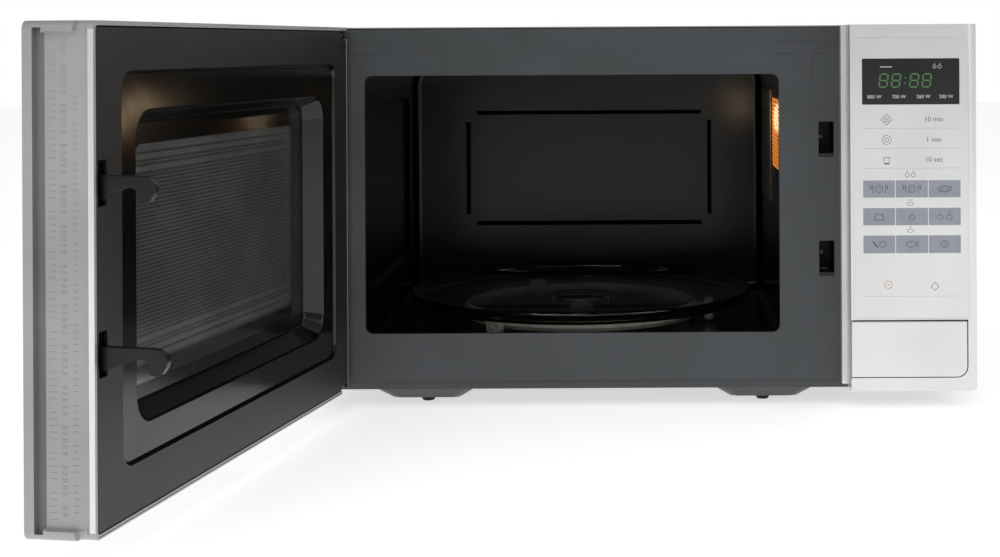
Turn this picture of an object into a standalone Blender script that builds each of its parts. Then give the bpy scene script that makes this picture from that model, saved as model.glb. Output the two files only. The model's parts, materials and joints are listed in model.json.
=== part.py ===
"""Countertop microwave oven with its door open, as separate pieces.

Metres, +Z up, +X to the right and +Y into the oven. The pieces are laid out about the cabinet: X = 0 is
its middle, Y = 0 the front face of the front plate and Z = 0 the worktop. The root empty then moves
the object so that its origin is at the middle of its base. The door's own axes are X along the
closed door from the hinge pin, Y inwards and Z up from the worktop.
"""

import math

import bmesh
import bpy
from mathutils import Vector

mm = 0.001
gap = 0.3 * mm                  # between two pieces that touch
sheet = 0.8 * mm                # steel sheet
cover_sheet = 0.7 * mm

# Cabinet
cabinet_width = 443 * mm
cabinet_height = 259.5 * mm
body_depth = 330 * mm
front_depth = 35.5 * mm         # how far the door and the control panel stand out
latch_room = 33.1 * mm          # from the cavity's right wall to the control panel
cavity_margin = 24.7 * mm       # from the cabinet's side to the cavity's left wall
cavity_floor = 37 * mm
ceiling_space = 19.5 * mm       # above the cavity
rear_space = 22 * mm            # behind the cavity
base_underside = 13 * mm
bulge_drop = 9 * mm
plate_bottom = 19 * mm

# Cavity and its opening
floor_corner = 6 * mm
ceiling_corner = 28 * mm
back_corner = 10 * mm
opening_lip = 8 * mm            # how far the opening is inside the cavity's side walls
opening_sill = 14 * mm          # how far the opening is above the cavity's floor
opening_drop = 13.4 * mm        # how far the opening is below the cavity's ceiling
opening_corner = 5 * mm

# Turntable
tray_clearance = 18.5 * mm      # from the tray to the cavity's side and back walls
tray_front_space = 16 * mm      # from the tray to the front plate
tray_height = 10.4 * mm
tray_wall = 4.5 * mm
roller_space = 14.3 * mm        # from the cavity's floor to the tray's underside
tray_setback = 147 * mm         # from the front plate to the turntable's axis
wheel_inset = 32 * mm           # from the tray's rim to the middle of a roller
wheel_width = 6 * mm
ring_inset = 12 * mm            # from the middle of a roller to the ring's tube
ring_tube = 3 * mm
axle_radius = 1.6 * mm

# Door
door_bottom = 15 * mm
door_wall = 2.3 * mm
door_gap = 1 * mm               # between the closed door and the front plate
side_gap = 0.8 * mm             # between the closed door and the control panel
open_angle = math.radians(99.5)
pivot_inset = 11.5 * mm         # from the door's hinge edge to the pin
pivot_depth = 12 * mm           # from the front plate to the pin
pin_radius = 2.5 * mm
pin_clearance = 0.25 * mm
hinge_sheet = 2 * mm
hinge_half = 7 * mm
step_back = 9 * mm              # depth of the stepped inner edge of the door and of the panel
panel_step = 3 * mm            # how far the front part of the panel is narrower
cover_wall = 1.6 * mm
choke_recess = 13.6 * mm

# Latch
slot_width = 10.4 * mm
slot_height = 24 * mm
upper_hook_drop = 77.5 * mm     # from the cabinet's top to the middle of the upper slot
lower_hook_height = 101 * mm
hook_width = 4.6 * mm
hook_inset = 11.3 * mm          # from the door's end to the middle of the hooks
hook_lift = 5 * mm
upper_hook_reach = 28 * mm
lower_hook_reach = 33.5 * mm
spring_room = 16 * mm

# Control panel
panel_width = 87.2 * mm
panel_bottom = 17.5 * mm
panel_wall = 2.2 * mm
overlay_sheet = 0.5 * mm
button_top = 64 * mm
button_bottom = 26.8 * mm
button_clearance = 0.5 * mm
button_recess = 7 * mm

# Values that follow
left = -cabinet_width / 2
right = cabinet_width / 2
panel_left = right - panel_width
cavity_left = left + cavity_margin
cavity_right = panel_left - latch_room
cavity_top = cabinet_height - ceiling_space
cavity_back = body_depth - rear_space
centre_x = (cavity_left + cavity_right) / 2
opening_low = cavity_floor + opening_sill
opening_high = cavity_top - opening_drop
plate_left = left + cover_sheet + gap
plate_right = panel_left + 20 * mm
plate_top = cabinet_height - cover_sheet - 2 * gap
liner_front = sheet + gap
duct_left = cavity_right + sheet + gap
compartment_right = right - cover_sheet - gap
base_top = base_underside + sheet
rear_inner = body_depth - sheet
tray_underside = cavity_floor + roller_space
tray_radius = min(
    (cavity_right - cavity_left) / 2 - tray_clearance,
    cavity_back - tray_setback - tray_clearance,
    tray_setback - tray_front_space,
)
wheel_place = tray_radius - wheel_inset
wheel_radius = (roller_space - 2 * gap) / 2
wheel_height = cavity_floor + gap + wheel_radius
pivot_x = left + pivot_inset
door_end = panel_left + panel_step - side_gap - pivot_x
door_inner = pivot_depth - door_gap
door_outer = pivot_depth - front_depth
hook_x = door_end - hook_inset
upper_hook_height = cabinet_height - upper_hook_drop
hook_heights = {"upper": upper_hook_height, "lower": lower_hook_height}
hook_reaches = {"upper": upper_hook_reach, "lower": lower_hook_reach}
turntable = Vector((centre_x, tray_setback, 0))

for old in list(bpy.data.objects):
    bpy.data.objects.remove(old)


def material(name, colour, roughness, metallic=0.0):
    found = bpy.data.materials.new(name)
    found.use_nodes = True
    shader = found.node_tree.nodes["Principled BSDF"]
    shader.inputs["Base Color"].default_value = (*colour, 1)
    shader.inputs["Roughness"].default_value = roughness
    shader.inputs["Metallic"].default_value = metallic
    return found


silver = material("silver_plastic", (0.62, 0.62, 0.63), 0.35, 0.4)
enamel = material("black_enamel", (0.01, 0.01, 0.01), 0.15)
grey_enamel = material("grey_enamel", (0.07, 0.07, 0.075), 0.3)
cover_steel = material("cover_steel", (0.55, 0.55, 0.56), 0.4, 0.8)
zinc = material("zinc", (0.6, 0.62, 0.65), 0.4, 1.0)
black_plastic = material("black_plastic", (0.015, 0.015, 0.015), 0.35)
glass = material("glass", (0.75, 0.8, 0.8), 0.05)
smoked = material("smoked_glass", (0.02, 0.02, 0.022), 0.08)
rubber = material("rubber", (0.03, 0.03, 0.03), 0.8)
white_plastic = material("white_plastic", (0.8, 0.8, 0.78), 0.4)
copper = material("copper", (0.7, 0.35, 0.2), 0.35, 1.0)
aluminium = material("aluminium", (0.75, 0.75, 0.76), 0.35, 1.0)
board_green = material("board_green", (0.05, 0.2, 0.1), 0.5)
mica = material("mica", (0.55, 0.5, 0.42), 0.5)
lavender = material("keypad", (0.65, 0.64, 0.7), 0.4)
bulb_glass = material("bulb_glass", (0.9, 0.85, 0.7), 0.1)


def empty(name, place, parent=None, turn=0.0):
    found = bpy.data.objects.new(name, None)
    bpy.context.scene.collection.objects.link(found)
    found.location = place
    found.rotation_euler = (0, 0, turn)
    found.parent = parent
    return found


def prism(outline, axis, low, high):
    """A closed outline extruded along an axis. It lies in (Y, Z) for X, (X, Z) for Y and (X, Y) for Z."""
    place = {
        "X": lambda a, b, h: (h, a, b),
        "Y": lambda a, b, h: (a, h, b),
        "Z": lambda a, b, h: (a, b, h),
    }[axis]
    count = len(outline)
    points = [place(a, b, h) for h in (low, high) for a, b in outline]
    faces = [tuple(range(count)), tuple(range(count, 2 * count))]
    for i in range(count):
        j = (i + 1) % count
        faces.append((i, j, count + j, count + i))
    return points, faces


def box(low, high):
    (x0, y0, z0), (x1, y1, z1) = low, high
    return prism([(x0, y0), (x1, y0), (x1, y1), (x0, y1)], "Z", z0, z1)


def arc(centre, radius, start, end, steps):
    """Points on an arc in the plane, with its angles in degrees."""
    return [
        (
            centre[0] + radius * math.cos(math.radians(start + (end - start) * i / steps)),
            centre[1] + radius * math.sin(math.radians(start + (end - start) * i / steps)),
        )
        for i in range(steps + 1)
    ]


def circle(centre, radius, steps=16):
    return arc(centre, radius, 0, 360 * (steps - 1) / steps, steps - 1)


def rounded(low, high, radii, steps=4):
    """A rectangle's outline with a radius at the low left, low right, high right and high left corner."""
    (x0, z0), (x1, z1) = low, high
    if not isinstance(radii, tuple):
        radii = (radii,) * 4
    corners = ((x0, z0, 1, 1), (x1, z0, -1, 1), (x1, z1, -1, -1), (x0, z1, 1, -1))
    outline = []
    for i, ((x, z, sx, sz), radius) in enumerate(zip(corners, radii)):
        middle = (x + sx * radius, z + sz * radius)
        outline += arc(middle, radius, 180 + 90 * i, 270 + 90 * i, steps)
    return outline


def lofted(loops, cap_first=True, cap_last=True):
    """Rings of points with equal counts, joined one to the next."""
    count = len(loops[0])
    points = [point for loop in loops for point in loop]
    faces = []
    for k in range(len(loops) - 1):
        for i in range(count):
            j = (i + 1) % count
            faces.append((k * count + i, k * count + j, (k + 1) * count + j, (k + 1) * count + i))
    if cap_first:
        faces.append(tuple(range(count)))
    if cap_last:
        faces.append(tuple(range((len(loops) - 1) * count, len(loops) * count)))
    return points, faces


def turned(profile, centre, axis="Z", steps=24):
    """A closed profile of (radius, place along the axis) turned about the axis through the centre."""
    place = {
        "X": lambda a, b, h: (h, a, b),
        "Y": lambda a, b, h: (a, h, b),
        "Z": lambda a, b, h: (a, b, h),
    }[axis]
    points = []
    rings = []
    for radius, along in profile:
        if radius < 1e-7:
            rings.append([len(points)] * steps)
            points.append(place(centre[0], centre[1], along))
            continue
        rings.append(list(range(len(points), len(points) + steps)))
        for i in range(steps):
            angle = 2 * math.pi * i / steps
            a = centre[0] + radius * math.cos(angle)
            b = centre[1] + radius * math.sin(angle)
            points.append(place(a, b, along))
    faces = []
    for ring, after in zip(rings, rings[1:] + rings[:1]):
        for i in range(steps):
            j = (i + 1) % steps
            corners = []
            for index in (ring[i], ring[j], after[j], after[i]):
                if index not in corners:
                    corners.append(index)
            if len(corners) > 2:
                faces.append(tuple(corners))
    return points, faces


def rod(centre, radius, low, high, axis="Z", steps=16):
    return prism(circle(centre, radius, steps), axis, low, high)


def mesh_of(name, solids, origin):
    builder = bmesh.new()
    for points, faces in solids:
        made = [builder.verts.new(Vector(point) - Vector(origin)) for point in points]
        for face in faces:
            builder.faces.new([made[i] for i in face])
    bmesh.ops.recalc_face_normals(builder, faces=builder.faces)
    mesh = bpy.data.meshes.new(name)
    builder.to_mesh(mesh)
    builder.free()
    return mesh


def piece(name, solids, look, parent, origin=(0, 0, 0), smooth=False, thickness=None, side=1):
    """One named piece. With a thickness its solids are open surfaces, thickened on the side given."""
    mesh = mesh_of(name, solids, origin)
    mesh.materials.append(look)
    if smooth:
        mesh.shade_smooth()
        mesh.set_sharp_from_angle(angle=math.radians(35))
    made = bpy.data.objects.new(name, mesh)
    bpy.context.scene.collection.objects.link(made)
    made.parent = parent
    made.location = origin
    if thickness:
        solidify = made.modifiers.new("thickness", "SOLIDIFY")
        solidify.thickness = thickness
        solidify.offset = side
        solidify.use_even_offset = True
    return made


def shape(target, operation, solids):
    """Cuts the solids from a piece, or fuses them to it. They are given in the frame of its parent."""
    name = f"{target.name}_{operation.lower()}_{len(target.modifiers)}"
    helper = bpy.data.objects.new(name, mesh_of(name, solids, target.location))
    bpy.context.scene.collection.objects.link(helper)
    helper.parent = target.parent
    helper.location = target.location
    helper.hide_render = True
    helper.display_type = "WIRE"
    boolean = target.modifiers.new(name, "BOOLEAN")
    boolean.operation = operation
    boolean.object = helper
    boolean.use_self = True


def cut(target, *solids):
    shape(target, "DIFFERENCE", solids)


def fuse(target, *solids):
    shape(target, "UNION", solids)


def row_of_slots(low, high, axis, count, pitch):
    """The box from low to high, repeated along an axis."""
    step = {"X": Vector((1, 0, 0)), "Y": Vector((0, 1, 0)), "Z": Vector((0, 0, 1))}[axis] * pitch
    return [box(Vector(low) + step * i, Vector(high) + step * i) for i in range(count)]


def door_box():
    """The object's extent at rest: the open door reaches furthest left and forwards."""
    corners = [(x, y) for x in (0, door_end) for y in (door_outer, door_inner - step_back)]
    turned_x = [x * math.cos(open_angle) + y * math.sin(open_angle) for x, y in corners]
    turned_y = [y * math.cos(open_angle) - x * math.sin(open_angle) for x, y in corners]
    return pivot_x + min(turned_x), min(turned_y) - pivot_depth


far_left, far_front = door_box()
root = empty("microwave_oven", (-(far_left + right) / 2, -(far_front + body_depth) / 2, 0))
door = empty("door_pivot", (pivot_x, -pivot_depth, 0), root, -open_angle)


def make_front_plate():
    outline = rounded((plate_left, plate_bottom), (plate_right, plate_top), (1 * mm, 1 * mm, 1 * mm, 7 * mm), 3)
    plate = piece("front_plate", [prism(outline, "Y", 0, sheet)], grey_enamel, root)
    fuse(
        plate,
        box((plate_left, sheet / 2, 30 * mm), (plate_left + sheet, 12 * mm, plate_top - 9 * mm)),
        box((plate_left + 8 * mm, sheet / 2, plate_top - sheet), (plate_right - 4 * mm, 12 * mm, plate_top)),
    )
    opening = rounded(
        (cavity_left + opening_lip, opening_low),
        (cavity_right - opening_lip, opening_high),
        opening_corner,
    )
    slots = [
        box(
            (pivot_x + hook_x - slot_width / 2, -sheet, height - slot_height / 2),
            (pivot_x + hook_x + slot_width / 2, 2 * sheet, height + slot_height / 2),
        )
        for height in hook_heights.values()
    ]
    notch = box(
        (pivot_x - hinge_half - gap, -sheet, plate_top - 8.3 * mm),
        (pivot_x + hinge_half + gap, 2 * sheet, plate_top - 1.2 * mm),
    )
    cut(plate, prism(opening, "Y", -sheet, 2 * sheet), notch, *slots)


def cavity_loop(inset, y, grow=0.0):
    """The cavity's cross-section, drawn in by an inset or out by a growth."""
    low = (cavity_left + inset - grow, cavity_floor + inset - grow)
    high = (cavity_right - inset + grow, cavity_top - inset + grow)
    small = max(floor_corner - inset + grow, 0.5 * mm)
    large = ceiling_corner - inset + grow
    return [(x, y, z) for x, z in rounded(low, high, (small, small, large, large), 5)]


def make_cavity_liner():
    loops = [cavity_loop(0, liner_front, 6 * mm), cavity_loop(0, liner_front)]
    for step in range(4):
        angle = math.radians(30 * step)
        inset = back_corner * (1 - math.cos(angle))
        loops.append(cavity_loop(inset, cavity_back - back_corner * (1 - math.sin(angle))))
    surface = lofted(loops, cap_first=False)
    liner = piece("cavity_liner", [surface], enamel, root, smooth=True, thickness=sheet)
    cut(
        liner,
        rod(turntable[:2], 5 * mm, cavity_floor - 5 * mm, cavity_floor + 2 * mm),
        box(
            (cavity_right - 5 * mm, guide_y - 30 * mm, guide_z - 28 * mm),
            (cavity_right + 5 * mm, guide_y + 30 * mm, guide_z + 28 * mm),
        ),
    )


def make_outer_cover():
    bottom = base_underside + 1 * mm
    outer = [(left, bottom)]
    outer += arc((left + 6 * mm, cabinet_height - 6 * mm), 6 * mm, 180, 90, 4)
    outer += arc((right - 6 * mm, cabinet_height - 6 * mm), 6 * mm, 90, 0, 4)
    outer += [(right, bottom)]
    inner = [(right - cover_sheet, bottom)]
    inside = 6 * mm - cover_sheet
    inner += arc((right - 6 * mm, cabinet_height - 6 * mm), inside, 0, 90, 4)
    inner += arc((left + 6 * mm, cabinet_height - 6 * mm), inside, 90, 180, 4)
    inner += [(left + cover_sheet, bottom)]
    outline = prism(outer + inner, "Y", 0.4 * mm, body_depth - gap)
    cover = piece("outer_cover", [outline], cover_steel, root, smooth=True)
    vents = row_of_slots(
        (right - 5 * mm, body_depth - 110 * mm, 55 * mm),
        (right + 5 * mm, body_depth - 70 * mm, 58 * mm),
        "Z", 8, 8 * mm,
    )
    vents += row_of_slots(
        (left - 5 * mm, body_depth - 110 * mm, 55 * mm),
        (left + 5 * mm, body_depth - 70 * mm, 58 * mm),
        "Z", 8, 8 * mm,
    )
    cut(cover, *vents)


def foot_places():
    front = 30 * mm
    rear = body_depth - 45 * mm
    return {
        "front_left": (left + 71.5 * mm, front),
        "front_right": (cavity_right - 18.2 * mm, front),
        "rear_left": (left + 71.5 * mm, rear),
        "rear_right": (right - 40 * mm, rear),
    }


def frustum(middle, half_low, half_high, low, high):
    loops = []
    for (half_x, half_y), height in ((half_high, high), (half_low, low)):
        corners = rounded(
            (middle[0] - half_x, middle[1] - half_y), (middle[0] + half_x, middle[1] + half_y), 6 * mm, 2
        )
        loops.append([(x, y, height) for x, y in corners])
    return lofted(loops)


def make_base_plate():
    front = 2.1 * mm
    rear = rear_inner - gap
    slab = box((plate_left, front, base_underside), (-plate_left, rear, base_top))
    plate = piece("base_plate", [slab], grey_enamel, root)
    top = base_underside + 14 * mm
    under = base_underside - bulge_drop
    low, high = (24 * mm, 12 * mm), (38 * mm, 22 * mm)
    fuse(
        plate,
        box((plate_left, front, base_underside), (plate_left + sheet, rear, top)),
        box((-plate_left - sheet, front, base_underside), (-plate_left, rear, top)),
        box((plate_left, front, base_underside), (-plate_left, front + sheet, top)),
    )
    fuse(plate, *[frustum(place, low, high, under, base_top - 0.1 * mm) for place in foot_places().values()])
    cut(
        plate,
        *[
            frustum(place, (low[0] - sheet, low[1] - sheet), high, under + sheet, base_top + sheet)
            for place in foot_places().values()
        ],
    )
    cut(
        plate,
        *[rod(place, foot_neck + gap, under - sheet, under + 2 * sheet) for place in foot_places().values()],
        box(
            (plate_left + sheet, 0, base_top + 1 * mm),
            (pivot_x + hinge_half + 1 * mm, front + 2 * sheet, top + sheet),
        ),
    )


foot_radius = 4.5 * mm
foot_neck = 2.6 * mm


def make_feet():
    under = base_underside - bulge_drop
    profile = [
        (0, 0),
        (foot_radius - 0.8 * mm, 0),
        (foot_radius, 0.8 * mm),
        (foot_radius, under - gap),
        (foot_neck, under - gap),
        (foot_neck, under + sheet + gap),
        (foot_radius, under + sheet + gap),
        (foot_neck, under + sheet + 3 * mm),
        (0, under + sheet + 3 * mm),
    ]
    for name, place in foot_places().items():
        origin = (place[0], place[1], 0)
        piece(f"foot_{name}", [turned(profile, place, steps=16)], rubber, root, origin, smooth=True)


def make_rear_panel():
    bottom, top = base_top + gap, cabinet_height - cover_sheet - gap
    outline = rounded((plate_left, bottom), (-plate_left, top), (1 * mm, 1 * mm, 7 * mm, 7 * mm), 3)
    slab = prism(outline, "Y", rear_inner, body_depth)
    panel = piece("rear_panel", [slab], cover_steel, root)
    fuse(
        panel,
        box((plate_left, rear_inner - 9 * mm, 32 * mm), (plate_left + sheet, body_depth, top - 10 * mm)),
        box((-plate_left - sheet, rear_inner - 9 * mm, 32 * mm), (-plate_left, body_depth, top - 10 * mm)),
    )
    low = (fan_x - 38 * mm, rear_inner - 2 * mm, fan_z - 34 * mm)
    high = (fan_x - 34 * mm, body_depth + 2 * mm, fan_z + 34 * mm)
    cut(panel, rod(cord_place, 8 * mm, rear_inner - 2 * mm, body_depth + 2 * mm, "Y"),
        *row_of_slots(low, high, "X", 10, 8 * mm))


cord_place = (right - 30 * mm, 45 * mm)


def make_cord_bush():
    profile = [
        (5 * mm, rear_inner - 4 * mm),
        (9.5 * mm, rear_inner - 4 * mm),
        (9.5 * mm, rear_inner - gap),
        (8 * mm - gap, rear_inner - gap),
        (8 * mm - gap, body_depth - 0.1 * mm),
        (5 * mm, body_depth - 0.1 * mm),
    ]
    origin = (cord_place[0], body_depth, cord_place[1])
    piece("cord_bush", [turned(profile, cord_place, "Y", 20)], black_plastic, root, origin, smooth=True)


def make_hinge_bracket(name, low, pin_low, pin_high, leg_low, leg_high):
    """A tongue over or under the door's corner, its pin, and the leg behind the front plate."""
    tongue = [(pivot_x + hinge_half, 3.1 * mm), (pivot_x - hinge_half, 3.1 * mm)]
    tongue += arc((pivot_x, -pivot_depth), hinge_half, 180, 360, 8)
    made = piece(name, [prism(tongue, "Z", low, low + hinge_sheet)], zinc, root, (pivot_x, -pivot_depth, 0))
    leg_left = plate_left + sheet + gap
    fuse(
        made,
        rod((pivot_x, -pivot_depth), pin_radius, pin_low, pin_high),
        box((leg_left, sheet + gap, leg_low), (cavity_left - 7.4 * mm, 3.1 * mm, leg_high)),
    )


def make_hinges():
    upper = plate_top - 4.7 * mm
    make_hinge_bracket("upper_hinge_bracket", upper, upper - 12 * mm, upper + 1 * mm,
                       upper - 38 * mm, upper + 0.5 * hinge_sheet)
    lower = door_bottom + 0.5 * mm
    make_hinge_bracket("lower_hinge_bracket", lower, lower + 1 * mm, lower + 14 * mm,
                       lower + 0.5 * hinge_sheet, lower + 36 * mm)


def door_loop(x0, x1, y, inset=0.0, corner=4 * mm):
    outline = rounded((x0, door_bottom + inset), (x1, cabinet_height - inset), corner)
    return [(x, y, z) for x, z in outline]


def make_door_frame():
    step = door_inner - step_back
    back = door_end - panel_step
    loops = [
        door_loop(-pivot_inset, door_end, door_outer),
        door_loop(-pivot_inset, door_end, step),
        door_loop(-pivot_inset, back, step),
        door_loop(-pivot_inset, back, door_inner),
    ]
    frame = piece("door_frame", [lofted(loops)], silver, door, smooth=True)
    inside = [
        door_loop(-2.3 * mm, back - door_wall, door_outer + door_wall, door_wall, 2 * mm),
        door_loop(-2.3 * mm, back - door_wall, door_inner + 1 * mm, door_wall, 2 * mm),
    ]
    window = rounded((30 * mm, 48 * mm), (door_end - 40 * mm, cabinet_height - 29.5 * mm), 6 * mm)
    cut(frame, lofted(inside), prism(window, "Y", door_outer - 1 * mm, door_outer + 2 * door_wall))
    upper = plate_top - 4.7 * mm
    lower = door_bottom + 0.5 * mm
    boss_x = 8 * mm
    boss_y = door_inner - 6.4 * mm
    fuse(
        frame,
        box((-3 * mm, -10 * mm, upper - 17 * mm), (boss_x, boss_y, upper - 2 * mm)),
        box((-3 * mm, -10 * mm, lower + 4.3 * mm), (boss_x, boss_y, lower + 19 * mm)),
    )
    edge = door_inner + 0.4 * mm
    slant = math.tan(open_angle - math.pi / 2)
    far = -door_outer + 1 * mm
    corner = [(-14 * mm, -far), (-14 * mm, 13 * mm), (0, 13 * mm)] + arc((0, 0), edge, 90, 180, 6)
    corner.append((far * slant - edge, -far))
    tongue_low, tongue_high = (-13 * mm, -10.5 * mm), (9 * mm, 12 * mm)
    cut(
        frame,
        prism(corner, "Z", 0, cabinet_height + 1 * mm),
        box((*tongue_low, upper - 2 * mm), (*tongue_high, upper + 4 * mm)),
        box((*tongue_low, door_bottom - 1 * mm), (*tongue_high, lower + 4.3 * mm)),
        rod((0, 0), pin_radius + pin_clearance, upper - 15 * mm, upper),
        rod((0, 0), pin_radius + pin_clearance, lower, lower + 17 * mm),
    )


def make_door_window():
    low = (22 * mm, door_outer + door_wall + gap, 40 * mm)
    high = (door_end - 32 * mm, door_outer + door_wall + gap + 3 * mm, cabinet_height - 21.5 * mm)
    piece("door_outer_window", [box(low, high)], smoked, door)


def make_choke_cover():
    end = door_end - panel_step - door_wall - gap
    low, high = 18 * mm, cabinet_height - 3 * mm

    def loop(x0, x1, z0, z1, radius, y):
        return [(x, y, z) for x, z in rounded((x0, z0), (x1, z1), radius)]

    face, shelf = door_inner, door_inner - 1.7 * mm
    bottom = door_inner - choke_recess
    top = cabinet_height
    loops = [
        loop(-1.9 * mm, end, low, high, 2 * mm, door_inner - 6 * mm),
        loop(-1.9 * mm, end, low, high, 2 * mm, face),
        loop(20 * mm, end - 25.6 * mm, 42 * mm, top - 24.5 * mm, 9 * mm, face),
        loop(21.5 * mm, end - 27.1 * mm, 43.5 * mm, top - 26 * mm, 8 * mm, shelf),
        loop(38 * mm, end - 43.6 * mm, 59 * mm, top - 44.5 * mm, 15 * mm, shelf),
        loop(44 * mm, end - 49.6 * mm, 66 * mm, top - 50.5 * mm, 10 * mm, bottom),
        loop(60 * mm, end - 65.6 * mm, 82 * mm, top - 62.5 * mm, 6 * mm, bottom),
    ]
    surface = lofted(loops, cap_first=False, cap_last=False)
    cover = piece("door_choke_cover", [surface], black_plastic, door, smooth=True,
                  thickness=cover_wall, side=-1)
    slots = [
        box(
            (hook_x - slot_width / 2 + 1 * mm, 0, height - slot_height / 2 + 1.5 * mm),
            (hook_x + slot_width / 2 - 1 * mm, 15 * mm, height + slot_height / 2 - 0.5 * mm),
        )
        for height in hook_heights.values()
    ]
    upper = plate_top - 4.7 * mm
    lower = door_bottom + 0.5 * mm
    cut(
        cover,
        box((-5 * mm, 0, upper - 2.5 * mm), (9.5 * mm, 15 * mm, cabinet_height)),
        box((-5 * mm, 0, 0), (9.5 * mm, 15 * mm, lower + 4.8 * mm)),
        *slots,
    )


def make_steel_panel():
    def loop(x0, x1, z0, z1, radius, y):
        return [(x, y, z) for x, z in rounded((x0, z0), (x1, z1), radius)]

    end = door_end - 20.5 * mm
    top = cabinet_height
    ridge, middle = door_inner - 4.9 * mm, door_inner - choke_recess - cover_wall - 1 * mm
    loops = [
        loop(9 * mm, end, 24 * mm, top - 8.5 * mm, 3 * mm, -12 * mm),
        loop(9 * mm, end, 24 * mm, top - 8.5 * mm, 3 * mm, ridge),
        loop(33 * mm, end - 21.6 * mm, 54 * mm, top - 39.5 * mm, 12 * mm, ridge),
        loop(39 * mm, end - 28 * mm, 61 * mm, top - 45.5 * mm, 9 * mm, middle),
    ]
    surface = lofted(loops, cap_first=False)
    piece("door_steel_panel", [surface], grey_enamel, door, smooth=True, thickness=0.6 * mm, side=-1)


def make_inner_film():
    y = door_inner - choke_recess + gap
    low, high = (52 * mm, y, 74 * mm), (door_end - 62.5 * mm, y + 0.5 * mm, cabinet_height - 54.5 * mm)
    piece("door_inner_film", [box(low, high)], glass, door)


def hook_profile(height, reach):
    """The side view of one latch hook: an arm that tapers to its neck, and the head that hangs from it."""
    tip = door_inner + reach
    low = height - 9 * mm
    return [
        (-10 * mm, low + 1 * mm),
        (door_inner, low + 1.5 * mm),
        (tip - 15 * mm, low + 8 * mm),
        (tip - 10 * mm, low + 8.6 * mm),
        (tip - 9 * mm, low + 1.2 * mm),
        (tip - 6 * mm, low),
        (tip - 3 * mm, low + 1 * mm),
        (tip, low + 6 * mm),
        (tip - 2 * mm, low + 11 * mm),
        (tip - 8 * mm, low + 13 * mm),
        (door_inner, low + 13.5 * mm),
        (-10 * mm, low + 15.5 * mm),
    ]


hook_bar_front = -15 * mm
hook_bar_back = -8 * mm
hook_bar_low = lower_hook_height - 22 * mm
hook_bar_high = upper_hook_height + 20 * mm


def make_hook_bar():
    low = (hook_x - hook_width / 2, hook_bar_front, hook_bar_low)
    high = (hook_x + hook_width / 2, hook_bar_back, hook_bar_high)
    bar = piece("door_hook_bar", [box(low, high)], black_plastic, door, (hook_x, hook_bar_back, hook_bar_low))
    for name, height in hook_heights.items():
        outline = hook_profile(height, hook_reaches[name])
        fuse(bar, prism(outline, "X", hook_x - hook_width / 2, hook_x + hook_width / 2))


def make_hook_spring():
    turns, radius, wire = 5, 2.6 * mm, 0.45 * mm
    low = hook_bar_high + wire + gap
    high = low + spring_room
    curve = bpy.data.curves.new("door_hook_spring", "CURVE")
    curve.dimensions = "3D"
    curve.bevel_depth = wire
    curve.bevel_resolution = 1
    curve.use_fill_caps = True
    steps = turns * 8
    spline = curve.splines.new("POLY")
    spline.points.add(steps)
    for i, point in enumerate(spline.points):
        angle = 2 * math.pi * i / 8
        rise = (high - low) * i / steps
        point.co = (radius * math.cos(angle), radius * math.sin(angle), rise, 1)
    curve.materials.append(zinc)
    made = bpy.data.objects.new("door_hook_spring", curve)
    bpy.context.scene.collection.objects.link(made)
    made.parent = door
    made.location = (hook_x, (hook_bar_front + hook_bar_back) / 2, low)


def make_turntable():
    middle = turntable[:2]
    edge, rise = tray_radius, tray_underside + tray_height
    floor = tray_underside + tray_wall
    profile = [
        (0, tray_underside),
        (edge - 14 * mm, tray_underside),
        (edge - 5 * mm, tray_underside + 2 * mm),
        (edge, rise - 3 * mm),
        (edge, rise - 0.8 * mm),
        (edge - 1.5 * mm, rise),
        (edge - 4 * mm, rise - 1 * mm),
        (edge - 9 * mm, floor + 1.4 * mm),
        (edge - 17 * mm, floor),
        (0, floor),
    ]
    origin = (*middle, tray_underside)
    tray = piece("turntable_tray", [turned(profile, middle, steps=56)], glass, root, origin, smooth=True)
    bosses = []
    for i in range(3):
        angle = math.radians(60 + 120 * i)
        place = (middle[0] + 13 * mm * math.cos(angle), middle[1] + 13 * mm * math.sin(angle))
        bosses.append(rod(place, 2.6 * mm, tray_underside - 4 * mm, tray_underside + 1 * mm, steps=10))
    fuse(tray, *bosses)


def make_drive():
    middle = turntable[:2]
    low, high = cavity_floor + gap, tray_underside - gap
    hub = [(3.3 * mm, low), (8 * mm, low), (8 * mm, high - 2 * mm), (6 * mm, high), (0, high),
           (0, high - 3 * mm), (3.3 * mm, high - 3 * mm)]
    coupler = piece("drive_coupler", [turned(hub, middle, steps=20)], white_plastic, root, (*middle, low))
    lobes = []
    for i in range(3):
        angle = math.radians(120 * i)
        place = (middle[0] + 11 * mm * math.cos(angle), middle[1] + 11 * mm * math.sin(angle))
        lobes.append(rod(place, 4 * mm, low + 4 * mm, high, steps=12))
    fuse(coupler, *lobes)
    shaft_low = cavity_floor - 12 * mm
    shaft = rod(middle, 3 * mm, shaft_low, high - 3 * mm - gap)
    piece("motor_shaft", [shaft], zinc, root, (*middle, shaft_low))
    motor_low, motor_high = base_top + 2 * mm, cavity_floor - sheet - gap
    motor = [
        (0, motor_low),
        (24.5 * mm, motor_low),
        (24.5 * mm, motor_high - 2 * mm),
        (8 * mm, motor_high - 2 * mm),
        (8 * mm, motor_high),
        (3.6 * mm, motor_high),
        (3.6 * mm, shaft_low - gap),
        (0, shaft_low - gap),
    ]
    piece("turntable_motor", [turned(motor, middle, steps=24)], zinc, root, (*middle, motor_low), smooth=True)


wheel_angles = {"left": -127, "right": -7, "rear": 113}


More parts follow.
